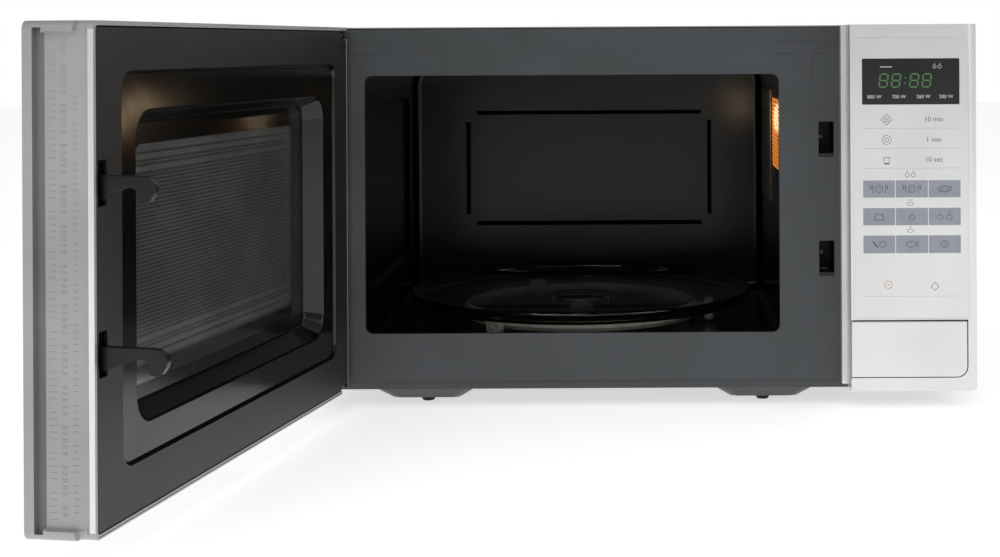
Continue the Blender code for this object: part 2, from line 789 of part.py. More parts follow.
def make_rollers():
    middle = turntable[:2]
    radius = wheel_place - ring_inset
    tube = [(x + radius, z + wheel_height) for x, z in circle((0, 0), ring_tube, 6)]
    origin = (*middle, wheel_height)
    ring = piece("roller_ring", [turned(tube, middle, steps=48)], white_plastic, root, origin, smooth=True)
    for name, angle in wheel_angles.items():
        turn = math.radians(angle)
        out = Vector((math.cos(turn), math.sin(turn), 0))
        place = turntable + out * wheel_place + Vector((0, 0, wheel_height))
        points, faces = rod((0, 0), axle_radius, -ring_inset, wheel_width, "X", 10)
        spin = [tuple(Vector((x * out.x - y * out.y, x * out.y + y * out.x, z)) + place) for x, y, z in points]
        fuse(ring, (spin, faces))
        bore = axle_radius + pin_clearance
        half = wheel_width / 2
        profile = [
            (bore, -half),
            (wheel_radius - 0.8 * mm, -half),
            (wheel_radius, -half + 0.8 * mm),
            (wheel_radius, half - 0.8 * mm),
            (wheel_radius - 0.8 * mm, half),
            (bore, half),
        ]
        wheel = piece(f"roller_wheel_{name}", [turned(profile, (0, 0), "X", 20)], white_plastic, root, smooth=True)
        wheel.location = place
        wheel.rotation_euler = (0, 0, turn)


guide_y = body_depth - 105 * mm
guide_z = cavity_top - 73 * mm
guide_depth = 29.5 * mm
fan_x = (duct_left + compartment_right) / 2
fan_z = guide_z


def make_waveguide():
    y, z = guide_y, guide_z
    face = cavity_right - 0.3 * mm
    cover = box((face - 0.6 * mm, y - 48 * mm, z - 44 * mm), (face, y + 48 * mm, z + 44 * mm))
    piece("waveguide_cover", [cover], mica, root, (face, y, z))
    wide, high = 42 * mm, 36 * mm
    end = duct_left + guide_depth
    duct = box((duct_left, y - wide, z - high), (end, y + wide, z + high))
    guide = piece("waveguide_duct", [duct], zinc, root, (duct_left, y, z))
    wall = 1.2 * mm
    cut(
        guide,
        box((duct_left - wall, y - wide + wall, z - high + wall), (end - wall, y + wide - wall, z + high - wall)),
        rod((y, z), 12 * mm, end - 2 * wall, end + wall, "X"),
    )


def make_magnetron():
    start = duct_left + guide_depth + gap
    y, z = guide_y, guide_z
    end = compartment_right - 12 * mm
    yoke = piece(
        "magnetron_yoke",
        [box((start, y - 38 * mm, z - 42 * mm), (end, y + 38 * mm, z + 42 * mm))],
        zinc, root, (start, y, z),
    )
    wall = 2 * mm
    cut(
        yoke,
        box((start + wall, y - 40 * mm, z - 42 * mm + wall), (end - wall, y + 40 * mm, z + 42 * mm - wall)),
        rod((y, z), 12 * mm, start - wall, start + 2 * wall, "X"),
    )
    low, high = start + wall + gap, end - wall - gap
    core, fin = 20 * mm, 34 * mm
    fins = 5
    pitch = (high - low - 16 * mm) / fins
    profile = [(0, low - 24 * mm), (6 * mm, low - 24 * mm), (8 * mm, low - 20 * mm), (8 * mm, low), (core, low)]
    for i in range(fins):
        place = low + 8 * mm + i * pitch
        profile += [(core, place), (fin, place), (fin, place + 2 * mm), (core, place + 2 * mm)]
    profile += [(core, high), (0, high)]
    piece("magnetron_anode", [turned(profile, (y, z), "X", 16)], aluminium, root, (low, y, z), smooth=True)


def make_transformer():
    x, y, low = cavity_right + 53 * mm, 97 * mm, base_top + 1.5 * mm
    half_x, half_y, tall = 45 * mm, 33 * mm, 70 * mm
    leg, window_low, window_high = 13 * mm, low + 14 * mm, low + tall - 14 * mm
    solid = box((x - half_x, y - half_y, low), (x + half_x, y + half_y, low + tall))
    core = piece("transformer_core", [solid], zinc, root, (x, y, low))
    cut(core, *[
        box((x + side * leg, y - half_y - 1 * mm, window_low), (x + side * 31 * mm, y + half_y + 1 * mm, window_high))
        for side in (-1, 1)
    ])
    middle = window_low + 17 * mm
    coils = {
        "transformer_primary_coil": (window_low + 0.5 * mm, middle, copper),
        "transformer_secondary_coil": (middle + 1.5 * mm, window_high - 0.5 * mm, copper),
    }
    for name, (z0, z1, look) in coils.items():
        outer = rounded((x - 30.4 * mm, y - half_y - 17 * mm), (x + 30.4 * mm, y + half_y + 17 * mm), 8 * mm, 3)
        bore = (x - leg - gap, y - half_y - gap, z0 - 1 * mm), (x + leg + gap, y + half_y + gap, z1 + 1 * mm)
        coil = piece(name, [prism(outer, "Z", z0, z1)], look, root, (x, y, z0), smooth=True)
        cut(coil, box(*bore))


def make_high_voltage():
    x, y0, y1, z = cavity_right + 36 * mm, body_depth - 112 * mm, body_depth - 24 * mm, base_top + 19 * mm
    outline = rounded((x - 26 * mm, z - 16.5 * mm), (x + 26 * mm, z + 16.5 * mm), 16 * mm, 5)
    can = piece("high_voltage_capacitor", [prism(outline, "Y", y0, y1)], aluminium, root, (x, y0, z), smooth=True)
    fuse(can, *[box((x + s * 10 * mm - 3 * mm, y0 - 8 * mm, z - 0.5 * mm), (x + s * 10 * mm + 3 * mm, y0 + 1 * mm,
                    z + 0.5 * mm)) for s in (-1, 1)])
    place = (cavity_right + 85 * mm, base_top + 6 * mm)
    diode = rod(place, 3 * mm, y0 + 10 * mm, y0 + 32 * mm, "Y", 12)
    piece("high_voltage_diode", [diode], black_plastic, root, (place[0], y0 + 10 * mm, place[1]), smooth=True)


def make_fan():
    x, z = fan_x, fan_z
    back = rear_inner - 10 * mm
    plate = box((x - 48 * mm, back - 12 * mm, z - 46 * mm), (x + 48 * mm, back, z + 46 * mm))
    shroud = piece("fan_shroud", [plate], black_plastic, root, (x, back, z))
    cut(shroud, rod((x, z), 43 * mm, back - 14 * mm, back + 2 * mm, "Y", 32))
    motor_back = back - 15 * mm
    motor = [
        (2.8 * mm, motor_back - 22 * mm),
        (22 * mm, motor_back - 22 * mm),
        (22 * mm, motor_back - 3 * mm),
        (6 * mm, motor_back - 3 * mm),
        (6 * mm, motor_back),
        (2.8 * mm, motor_back),
    ]
    piece("fan_motor", [turned(motor, (x, z), "Y", 20)], zinc, root, (x, motor_back, z), smooth=True)
    hub = [(0, motor_back - 20 * mm), (2.2 * mm, motor_back - 20 * mm), (2.2 * mm, motor_back + 3 * mm),
           (9 * mm, motor_back + 3 * mm), (9 * mm, motor_back + 12 * mm), (0, motor_back + 12 * mm)]
    blade = piece("fan_blade", [turned(hub, (x, z), "Y", 20)], white_plastic, root, (x, motor_back, z), smooth=True)
    vanes = []
    for i in range(5):
        angle = math.radians(72 * i)
        out, across = Vector((math.cos(angle), 0, math.sin(angle))), Vector((-math.sin(angle), 0, math.cos(angle)))
        middle = Vector((x, motor_back + 7.5 * mm, z))
        loops = []
        for radius, half in ((7 * mm, 6 * mm), (39 * mm, 15 * mm)):
            loops.append([
                tuple(middle + out * radius + across * (half * s) + Vector((0, (4 * s + t) * mm, 0)))
                for s, t in ((-1, 0), (1, 0), (1, 1.5), (-1, 1.5))
            ])
        vanes.append(lofted(loops))
    fuse(blade, *vanes)


def make_lamp():
    y, z = body_depth - 195 * mm, cavity_top - 60 * mm
    start = duct_left + 5 * mm
    bulb = [(0, start), (5 * mm, start + 1 * mm), (10 * mm, start + 5 * mm), (12 * mm, start + 12 * mm),
            (10 * mm, start + 19 * mm), (7 * mm, start + 24 * mm), (7 * mm, start + 38 * mm), (0, start + 38 * mm)]
    piece("oven_lamp", [turned(bulb, (y, z), "X", 20)], bulb_glass, root, (start, y, z), smooth=True)
    face = start + 27 * mm
    block = box((face, y - 13 * mm, z - 13 * mm), (face + 15 * mm, y + 13 * mm, z + 13 * mm))
    holder = piece("lamp_holder", [block], white_plastic, root, (face, y, z))
    fuse(holder, box((duct_left, y - 13 * mm, z - 15 * mm), (face + 15 * mm, y + 13 * mm, z - 12.9 * mm)))
    cut(holder, rod((y, z), 7.4 * mm, face - 1 * mm, face + 11.5 * mm, "X"))


def make_filter():
    z = cabinet_height - 34 * mm
    low, high = (duct_left + 8 * mm, 62 * mm), (compartment_right - 8 * mm, 125 * mm)
    piece("filter_board", [box((*low, z), (*high, z + 1.6 * mm))], board_green, root, (*low, z))
    base = z + 1.6 * mm + gap
    middle = (duct_left + 35 * mm, 90 * mm)
    choke = [(6 * mm, base), (13 * mm, base), (13 * mm, base + 10 * mm), (6 * mm, base + 10 * mm)]
    piece("filter_choke", [turned(choke, middle, steps=20)], copper, root, (*middle, base), smooth=True)
    place = (duct_left + 75 * mm, base + 4 * mm)
    fuse_body = rod(place, 3 * mm, 70 * mm, 102 * mm, "Y", 12)
    piece("mains_fuse", [fuse_body], bulb_glass, root, (place[0], 70 * mm, place[1]), smooth=True)


latch_left = pivot_x + hook_x - slot_width / 2 - 4 * mm
latch_right = pivot_x + hook_x + slot_width / 2 + 4 * mm
lever_y = 16 * mm
lever_z = 62 * mm
lever_arm = 28 * mm


def make_latch_board():
    back = 40 * mm
    low, high = lower_hook_height - 25 * mm, upper_hook_height + 46 * mm
    front = sheet + gap
    board = piece("latch_board", [box((latch_left, front, low), (latch_right, back, high))], white_plastic, root,
                  (latch_left, front, low))
    ear = [(lever_y - 8 * mm, lever_z - 8 * mm), (lever_y + 8 * mm, lever_z - 8 * mm), (lever_y + 8 * mm, low + 4 * mm),
           (lever_y - 8 * mm, low + 4 * mm)]
    shelf = box((latch_left, lever_y - 8 * mm, low), (latch_right + 16 * mm, lever_y + 8 * mm, low + 4 * mm))
    fuse(board, prism(ear, "X", latch_left, latch_left + 3 * mm),
         prism(ear, "X", latch_right + 13 * mm, latch_right + 16 * mm), shelf)
    hollows = []
    x0, x1 = latch_left + 3 * mm, latch_right - 3 * mm
    for height in hook_heights.values():
        sill = height - 9 * mm - 0.8 * mm
        hollows.append(box((x0, 0, sill), (x1, back - 3 * mm, height + 15 * mm)))
        hollows.append(box((x0, 18.5 * mm, height - 15 * mm), (x1, back - 3 * mm, height + 15 * mm)))
    for height in switch_heights.values():
        hollows.append(rod((latch_left + 9 * mm, height), 2.2 * mm, back - 5 * mm, back + 1 * mm, "Y", 12))
    hollows.append(
        box((x0, 0, lower_hook_height + 17 * mm), (x1, back - 3 * mm, upper_hook_height - 17 * mm))
    )
    hollows.append(box((x0, 0, upper_hook_height + 19 * mm), (x1, back - 3 * mm, high - 3 * mm)))
    hollows.append(box((x0, 18.5 * mm, low - 1 * mm), (x1, back - 3 * mm, lower_hook_height)))
    hollows.append(rod((lever_y, lever_z), 3.4 * mm, latch_left - 1 * mm, latch_right + 20 * mm, "X"))
    cut(board, *hollows)


switch_heights = {
    "monitor": upper_hook_height + 30 * mm,
    "upper": upper_hook_height,
    "lower": lower_hook_height,
}


def make_switches():
    x0, face = latch_left + 3.5 * mm, 40 * mm + gap
    for name, height in switch_heights.items():
        body = box((x0, face, height - 14 * mm), (x0 + 10.3 * mm, face + 16 * mm, height + 14 * mm))
        place = (latch_left + 9 * mm, height)
        switch = piece(f"{name}_door_switch", [body], black_plastic, root, (x0, face, height))
        cut(switch, rod(place, 1.9 * mm, face - 1 * mm, face + 8 * mm, "Y", 12))
        plunger = rod(place, 1.4 * mm, face - 5.5 * mm, face + 5 * mm, "Y", 10)
        piece(f"{name}_switch_plunger", [plunger], white_plastic, root, (place[0], face, height), smooth=True)


def make_release_lever():
    start, end = latch_left - 0.5 * mm, panel_left + 30 * mm
    shaft = rod((lever_y, lever_z), 3 * mm, start, end, "X")
    lever = piece("release_lever", [shaft], grey_enamel, root, (start, lever_y, lever_z))
    tip = lower_hook_height - 10 * mm
    nose = [(lever_y - 3 * mm, lever_z), (lever_y + 3 * mm, lever_z - 2 * mm), (lever_y + 19 * mm, tip - 5 * mm),
            (lever_y + 19 * mm, tip), (lever_y + 11 * mm, tip), (lever_y + 9 * mm, tip - 6 * mm)]
    arm = [(lever_y - 3 * mm, lever_z), (lever_y - 1.5 * mm, lever_z - lever_arm), (lever_y + 1.5 * mm,
           lever_z - lever_arm), (lever_y + 3 * mm, lever_z)]
    middle = pivot_x + hook_x
    fuse(lever, prism(nose, "X", middle - 3 * mm, middle + 3 * mm), prism(arm, "X", end - 6 * mm, end))


def make_panel_frame():
    front, step = -front_depth, side_gap - door_gap - step_back
    near = panel_left + panel_step

    def loop(x0, x1, y, inset, radius):
        outline = rounded((x0, panel_bottom + inset), (x1, cabinet_height - inset), (1 * mm, radius, radius, 1 * mm))
        return [(x, y, z) for x, z in outline]

    outer = [
        loop(near, right, front, 0, 7.3 * mm),
        loop(near, right, step, 0, 7.3 * mm),
        loop(panel_left, right, step, 0, 7.3 * mm),
        loop(panel_left, right, -gap, 0, 7.3 * mm),
    ]
    frame = piece("panel_frame", [lofted(outer)], silver, root, (panel_left, 0, panel_bottom), smooth=True)
    inside = [
        loop(near + panel_wall, right - panel_wall, front + panel_wall, panel_wall, 5 * mm),
        loop(near + panel_wall, right - panel_wall, 1 * mm, panel_wall, 5 * mm),
    ]
    cut(
        frame,
        lofted(inside),
        facing(overlay_area(0.2 * mm), front - 1 * mm, front + 0.7 * mm),
        facing(display_area(0.3 * mm), front - 1 * mm, front + 2 * panel_wall),
        facing(button_area(button_clearance), front - 1 * mm, front + button_recess),
    )


def overlay_area(more=0.0):
    """Low and high corner of the keypad overlay in the front view, grown by a clearance."""
    low = (panel_left + 4.8 * mm - more, button_top + 1.5 * mm - more)
    return low, (right - 6.2 * mm + more, cabinet_height - 8.6 * mm + more)


def display_area(more=0.0):
    low = (panel_left + 11 * mm - more, cabinet_height - 52.8 * mm - more)
    return low, (right - 12.2 * mm + more, cabinet_height - 22.7 * mm + more)


def button_area(more=0.0):
    low = (panel_left + 3.2 * mm - 4 * more, button_bottom - 2 * more)
    return low, (right - 7.6 * mm + 2 * more, button_top + more)


def facing(area, front, back):
    """A box given by its low and high corner in the front view."""
    (x0, z0), (x1, z1) = area
    return box((x0, front, z0), (x1, back, z1))


def make_controls():
    front = -front_depth
    face = front + 0.1 * mm
    sheets = facing(overlay_area(), face, face + overlay_sheet)
    (x0, z0), (x1, z1) = overlay_area()
    keypad = piece("keypad_overlay", [sheets], lavender, root, (x0, front, z0))
    cut(keypad, facing(display_area(0.3 * mm), front - 1 * mm, front + 2 * mm))
    (x0, z0), (x1, z1) = display_area()
    window = facing(display_area(), face, face + 2.6 * mm)
    piece("display_window", [window], smoked, root, (x0, front, z0))
    board_y = front + 16 * mm
    board_low, board_high = (panel_left + 9 * mm, button_top + 12 * mm), (right - 8 * mm, cabinet_height - 12 * mm)
    board = facing((board_low, board_high), board_y, board_y + 1.6 * mm)
    piece("control_board", [board], board_green, root, (board_low[0], board_y, board_low[1]))
    module = box((x0 + 3 * mm, face + 3 * mm, z0 + 2 * mm), (x1 - 3 * mm, board_y - gap, z1 - 2 * mm))
    piece("display_module", [module], smoked, root, (x0 + 3 * mm, face + 3 * mm, z0 + 2 * mm))
    back = board_y + 1.6 * mm + gap
    low = (panel_left + 12 * mm, back, button_top + 20 * mm)
    small = box(low, (low[0] + 32 * mm, -2 * mm, low[2] + 28 * mm))
    piece("board_transformer", [small], copper, root, low)


button_axis_y = 7 * mm - front_depth
button_axis_z = button_top - 3.5 * mm


def make_release_button():
    front = -front_depth
    (x0, z0), (x1, z1) = button_area()
    origin = (x0, button_axis_y, button_axis_z)
    plate = facing(((x0, z0), (x1, z1)), front + 0.1 * mm, front + 2.3 * mm)
    button = piece("door_release_button", [plate], silver, root, origin)
    hinge = rod((button_axis_y, button_axis_z), 2 * mm, x0 + 8 * mm, x1 - 8 * mm, "X", 12)
    rib_x = panel_left + 24.5 * mm
    arm_z = lever_z - lever_arm + 4 * mm
    fuse(
        button,
        hinge,
        box((x0 + 8 * mm, front + 2 * mm, button_axis_z - 1.5 * mm),
            (x1 - 8 * mm, button_axis_y, button_axis_z + 1.5 * mm)),
        box((rib_x, front + 2 * mm, arm_z - 5 * mm), (rib_x + 5 * mm, lever_y - 2.6 * mm, arm_z)),
    )
    start = x1 - 6.5 * mm
    profile = [(2.4 * mm, start), (3.6 * mm, start), (3.6 * mm, start + 4 * mm), (2.4 * mm, start + 4 * mm)]
    ring = turned(profile, (button_axis_y, button_axis_z), "X", 12)
    piece("button_spring", [ring], zinc, root, origin, smooth=True)


make_front_plate()
make_cavity_liner()
make_outer_cover()
make_base_plate()
make_feet()
make_rear_panel()
make_cord_bush()
make_hinges()
make_door_frame()
make_door_window()
make_choke_cover()
make_steel_panel()
make_inner_film()
make_hook_bar()
make_hook_spring()
make_turntable()
make_drive()
make_rollers()
make_waveguide()
make_magnetron()
make_transformer()
make_high_voltage()
make_fan()
make_lamp()
make_filter()
make_latch_board()
make_switches()
make_release_lever()
make_panel_frame()
make_controls()
make_release_button()
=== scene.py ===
import math

import bmesh
import bpy
from mathutils import Matrix, Vector
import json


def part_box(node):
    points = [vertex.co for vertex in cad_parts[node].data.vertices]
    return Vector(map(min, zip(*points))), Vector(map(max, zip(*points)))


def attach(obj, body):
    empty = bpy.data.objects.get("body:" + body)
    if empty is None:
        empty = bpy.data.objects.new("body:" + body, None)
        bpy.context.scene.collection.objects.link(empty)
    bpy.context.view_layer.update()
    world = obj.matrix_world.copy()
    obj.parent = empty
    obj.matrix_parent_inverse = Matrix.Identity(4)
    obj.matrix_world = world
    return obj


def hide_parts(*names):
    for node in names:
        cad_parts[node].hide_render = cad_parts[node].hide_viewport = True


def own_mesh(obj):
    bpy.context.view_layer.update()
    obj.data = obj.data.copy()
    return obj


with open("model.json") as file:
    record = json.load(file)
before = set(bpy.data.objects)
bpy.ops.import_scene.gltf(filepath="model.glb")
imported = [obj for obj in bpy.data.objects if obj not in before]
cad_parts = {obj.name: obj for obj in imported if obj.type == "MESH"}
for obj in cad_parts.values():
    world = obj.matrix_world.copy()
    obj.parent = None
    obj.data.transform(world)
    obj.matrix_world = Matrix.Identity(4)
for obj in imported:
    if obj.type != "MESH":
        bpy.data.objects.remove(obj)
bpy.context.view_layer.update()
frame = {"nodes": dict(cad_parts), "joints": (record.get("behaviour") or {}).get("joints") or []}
print("frame loaded")

# Where things are: the cabinet's middle at its front plate, and the open door's hinge pin.
coverLow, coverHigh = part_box("outer_cover")
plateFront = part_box("front_plate")[0].y
cabinetPlace = Matrix.Translation(((coverLow.x + coverHigh.x) / 2, plateFront, 0))
joints = {joint["name"]: joint for joint in frame["joints"]}
doorPin = joints["door_hinge"]["pos_m"]
doorTurn = Matrix.Rotation(math.radians(joints["door_hinge"]["range_deg"][0]), 4, "Z")
doorPlace = Matrix.Translation((doorPin[0], doorPin[1], 0)) @ doorTurn
tableMiddle = joints["turntable_spin"]["pos_m"]
tablePlace = Matrix.Translation((tableMiddle[0], tableMiddle[1], 0))

# All sizes below are millimetres, given for the cabinet standing with its front plate at y 0,
# for the door as it is when closed, from its hinge pin, and for the turntable from its own axis.


def clearSelection():
    if bpy.context.object and bpy.context.object.mode != "OBJECT":
        bpy.ops.object.mode_set(mode="OBJECT")
    bpy.ops.object.select_all(action="DESELECT")


def useOnly(obj):
    clearSelection()
    obj.select_set(True)
    bpy.context.view_layer.objects.active = obj


def openEdit(obj, kind):
    useOnly(obj)
    bpy.ops.object.mode_set(mode="EDIT")
    bpy.ops.mesh.select_mode(type=kind)
    bpy.ops.mesh.select_all(action="DESELECT")
    return bmesh.from_edit_mesh(obj.data)


def openWhole(obj, kind):
    openEdit(obj, kind)
    bpy.ops.mesh.select_all(action="SELECT")


def closeEdit():
    bpy.ops.object.mode_set(mode="OBJECT")


def pickFaces(obj, wanted):
    mesh = openEdit(obj, "FACE")
    for face in mesh.faces:
        if wanted(face.calc_center_median() * 1000, face.normal):
            face.select_set(True)
    bmesh.update_edit_mesh(obj.data)


def pickEdges(obj, wanted):
    mesh = openEdit(obj, "EDGE")
    for edge in mesh.edges:
        if wanted(edge.verts[0].co * 1000, edge.verts[1].co * 1000):
            edge.select_set(True)
    bmesh.update_edit_mesh(obj.data)


def pickPoints(obj, wanted):
    mesh = openEdit(obj, "VERT")
    for point in mesh.verts:
        if wanted(point.co * 1000):
            point.select_set(True)
    bmesh.update_edit_mesh(obj.data)


def applyScale(obj):
    useOnly(obj)
    bpy.ops.object.transform_apply(location=True, rotation=True, scale=True)


def addBlock(name, low, high):
    clearSelection()
    middle = [(a + b) / 2000 for a, b in zip(low, high)]
    size = [(b - a) / 1000 for a, b in zip(low, high)]
    bpy.ops.mesh.primitive_cube_add(size=1, location=middle, scale=size)
    obj = bpy.context.active_object
    obj.name = name
    applyScale(obj)
    return obj


def addRod(name, middle, radius, length, axis="Z", steps=32):
    clearSelection()
    turn = {"X": (0, math.pi / 2, 0), "Y": (math.pi / 2, 0, 0), "Z": (0, 0, 0)}[axis]
    bpy.ops.mesh.primitive_cone_add(
        vertices=steps, radius1=radius / 1000, radius2=radius / 1000, depth=length / 1000,
        location=[v / 1000 for v in middle], rotation=turn,
    )
    obj = bpy.context.active_object
    obj.name = name
    applyScale(obj)
    return obj


def roundCorners(obj, axis, radius, steps=5, where=None):
    index = "XYZ".index(axis)

    def along(a, b):
        run = b - a
        return abs(run[index]) > 0.999 * run.length and (where is None or where((a + b) / 2))

    pickEdges(obj, along)
    bpy.ops.mesh.bevel(offset=radius / 1000, segments=steps, profile=0.5, affect="EDGES")
    closeEdit()


def roundBlock(name, low, high, axis, radius, steps=5):
    obj = addBlock(name, low, high)
    roundCorners(obj, axis, radius, steps)
    return obj


def joinAll(pieces):
    useOnly(pieces[0])
    for obj in pieces[1:]:
        obj.select_set(True)
    if len(pieces) > 1:
        bpy.ops.object.join()
    return pieces[0]


def applyModifier(obj, kind, settings):
    modifier = obj.modifiers.new(kind.lower(), kind)
    for key, value in settings.items():
        setattr(modifier, key, value)
    useOnly(obj)
    bpy.ops.object.modifier_apply(modifier=modifier.name)


def combine(obj, others, operation):
    other = joinAll(list(others))
    applyModifier(obj, "BOOLEAN", {"object": other, "operation": operation, "solver": "MANIFOLD"})
    bpy.data.objects.remove(other, do_unlink=True)


def carve(obj, *cutters):
    combine(obj, cutters, "DIFFERENCE")


def fuse(obj, *others):
    for other in others:
        combine(obj, [other], "UNION")


def soften(obj, width, steps=2, angle=35):
    applyModifier(obj, "BEVEL", {
        "width": width / 1000, "segments": steps, "limit_method": "ANGLE",
        "angle_limit": math.radians(angle), "use_clamp_overlap": True, "miter_outer": "MITER_ARC",
    })


def thicken(obj, wall, side):
    applyModifier(obj, "SOLIDIFY", {"thickness": wall / 1000, "offset": side, "use_even_offset": True})


def faceOut(obj, mergeWithin=0.002):
    openWhole(obj, "VERT")
    bpy.ops.mesh.remove_doubles(threshold=mergeWithin / 1000)
    bpy.ops.mesh.normals_make_consistent(inside=False)
    closeEdit()


def faceAlongY(obj):
    # turn an open sheet so that most of it looks along +y
    if sum(face.normal.y * face.area for face in obj.data.polygons) < 0:
        openWhole(obj, "FACE")
        bpy.ops.mesh.flip_normals()
        closeEdit()


def useFinishes(obj, finishes):
    obj.data.materials.clear()
    for material in finishes:
        obj.data.materials.append(material)


def copyOf(obj, name, move=(0, 0, 0)):
    made = obj.copy()
    made.data = obj.data.copy()
    made.name = name
    bpy.context.scene.collection.objects.link(made)
    made.location = [v / 1000 for v in move]
    applyScale(made)
    return made


def addLoop(name, axis, level, low, high, radius, steps=6):
    # a flat face across the axis with rounded corners: one radius, or one below and one above
    clearSelection()
    turn = {"X": (math.pi / 2, 0, math.pi / 2), "Y": (math.pi / 2, 0, 0), "Z": (0, 0, 0)}[axis]
    flat = [(a + b) / 2000 for a, b in zip(low, high)]
    place = {"X": (level / 1000, *flat), "Y": (flat[0], level / 1000, flat[1]), "Z": (*flat, level / 1000)}
    size = ((high[0] - low[0]) / 1000, (high[1] - low[1]) / 1000, 1)
    bpy.ops.mesh.primitive_plane_add(size=1, location=place[axis], rotation=turn)
    obj = bpy.context.active_object
    obj.name = name
    obj.scale = size
    applyScale(obj)
    across = 1 if axis == "Z" else 2
    middle = (low[1] + high[1]) / 2
    radii = radius if isinstance(radius, tuple) else (radius, radius)
    for corner, above in zip(radii, (False, True)):
        pickPoints(obj, lambda p: (p[across] > middle + 0.3 * (high[1] - middle)) == above
                   and abs(p[across] - middle) > 0.49 * (high[1] - low[1]))
        bpy.ops.mesh.bevel(offset=corner / 1000, segments=steps, profile=0.5, affect="VERTICES")
        closeEdit()
    return obj


def loft(name, axis, loops, steps=6, closeFirst=False, closeLast=False):
    # each loop: (level, low, high, radius)
    strips = []
    for first, second in zip(loops, loops[1:]):
        pair = [addLoop("loop", axis, *first, steps=steps), addLoop("loop", axis, *second, steps=steps)]
        strip = joinAll(pair)
        openWhole(strip, "EDGE")
        bpy.ops.mesh.delete(type="ONLY_FACE")
        bpy.ops.mesh.select_all(action="SELECT")
        bpy.ops.mesh.bridge_edge_loops()
        closeEdit()
        strips.append(strip)
    if closeFirst:
        strips.append(addLoop("cap", axis, *loops[0], steps=steps))
    if closeLast:
        strips.append(addLoop("cap", axis, *loops[-1], steps=steps))
    obj = joinAll(strips)
    obj.name = name
    faceOut(obj)
    return obj


def drawOutline(name, points):
    clearSelection()
    start = [v / 1000 for v in points[0]]
    bpy.ops.mesh.primitive_plane_add(size=0.001, location=start)
    obj = bpy.context.active_object
    obj.name = name
    applyScale(obj)
    openWhole(obj, "VERT")
    bpy.ops.mesh.merge(type="CENTER")
    for before, after in zip(points, points[1:]):
        move = [(b - a) / 1000 for a, b in zip(before, after)]
        bpy.ops.mesh.extrude_region_move(TRANSFORM_OT_translate={"value": move})
    closeEdit()
    return obj


def prism(name, points, run):
    # an outline filled and drawn out along run
    obj = drawOutline(name, points)
    openWhole(obj, "VERT")
    bpy.ops.mesh.edge_face_add()
    move = [v / 1000 for v in run]
    bpy.ops.mesh.extrude_region_move(TRANSFORM_OT_translate={"value": move})
    bpy.ops.mesh.select_all(action="SELECT")
    bpy.ops.mesh.normals_make_consistent(inside=False)
    closeEdit()
    return obj


def turnProfile(name, profile, steps=96):
    # (radius, height) points turned about the z axis
    obj = drawOutline(name, [(r, 0, z) for r, z in profile])
    openWhole(obj, "VERT")
    bpy.ops.mesh.spin(steps=steps, angle=2 * math.pi, center=(0, 0, 0), axis=(0, 0, 1))
    closeEdit()
    faceOut(obj)
    return obj


def finishPiece(obj, name, body, material, place, replaced=(), smooth=35):
    obj.name = name
    obj.data.name = name
    if material is not None:
        useFinishes(obj, [material])
    obj.matrix_world = place @ obj.matrix_world
    applyScale(obj)
    if smooth:
        bpy.ops.object.shade_smooth_by_angle(angle=math.radians(smooth))
        applyModifier(obj, "WEIGHTED_NORMAL", {"keep_sharp": True, "weight": 100})
    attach(obj, body)
    if replaced:
        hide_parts(*replaced)
    clearSelection()
    return obj


def hexColour(code):
    parts = [int(code[i:i + 2], 16) / 255 for i in (1, 3, 5)]
    return (*[p / 12.92 if p <= 0.04045 else ((p + 0.055) / 1.055) ** 2.4 for p in parts], 1)


def addNode(tree, kind, settings=None, links=None):
    node = tree.nodes.new(kind)
    for key, value in (settings or {}).items():
        if isinstance(key, int) or key in node.inputs:
            node.inputs[key].default_value = value
        else:
            setattr(node, key, value)
    for key, source in (links or {}).items():
        tree.links.new(source, node.inputs[key])
    return node


def makeFinish(name, look, shader=None):
    # colour moves between two hexes in patches, roughness between two values,
    # and a fine grain lifts the surface
    material = bpy.data.materials.new(name)
    material.use_nodes = True
    tree = material.node_tree
    tree.nodes.clear()
    place = addNode(tree, "ShaderNodeTexCoord")
    stretch = addNode(tree, "ShaderNodeMapping", {"Scale": look.get("stretch", (1, 1, 1))},
                      {"Vector": place.outputs["Object"]})
    patches = addNode(tree, "ShaderNodeTexNoise", {"Scale": 1000 / look["patchMm"], "Detail": 3.0},
                      {"Vector": stretch.outputs["Vector"]})
    tint = addNode(tree, "ShaderNodeValToRGB", {}, {"Fac": patches.outputs["Fac"]})
    tint.color_ramp.elements[0].position = 0.35
    tint.color_ramp.elements[1].position = 0.65
    tint.color_ramp.elements[0].color = hexColour(look["dark"])
    tint.color_ramp.elements[1].color = hexColour(look["light"])
    grain = addNode(tree, "ShaderNodeTexNoise", {"Scale": 1000 / look["grainMm"], "Detail": 2.0},
                    {"Vector": stretch.outputs["Vector"]})
    rough = addNode(tree, "ShaderNodeMapRange", {"To Min": look["rough"][0], "To Max": look["rough"][1]},
                    {"Value": grain.outputs["Fac"]})
    bump = addNode(tree, "ShaderNodeBump", {"Strength": look.get("bump", 0.2),
                                            "Distance": look.get("bumpMm", 0.02) / 1000},
                   {"Height": grain.outputs["Fac"]})
    values = {"Metallic": look.get("metal", 0.0)}
    values.update(shader or {})
    surface = addNode(tree, "ShaderNodeBsdfPrincipled", values,
                      {"Base Color": tint.outputs["Color"], "Roughness": rough.outputs["Result"],
                       "Normal": bump.outputs["Normal"]})
    addNode(tree, "ShaderNodeOutputMaterial", {}, {"Surface": surface.outputs["BSDF"]})
    return material


# Moulded ABS painted silver: a soft even sheen with a very fine metallic fleck
silverPaint = makeFinish("silver_painted_abs", {
    "dark": "#E2E2E0", "light": "#EAEAE8", "patchMm": 60, "grainMm": 0.6, "rough": (0.26, 0.34),
    "bump": 0.08, "bumpMm": 0.008, "metal": 0.6,
})
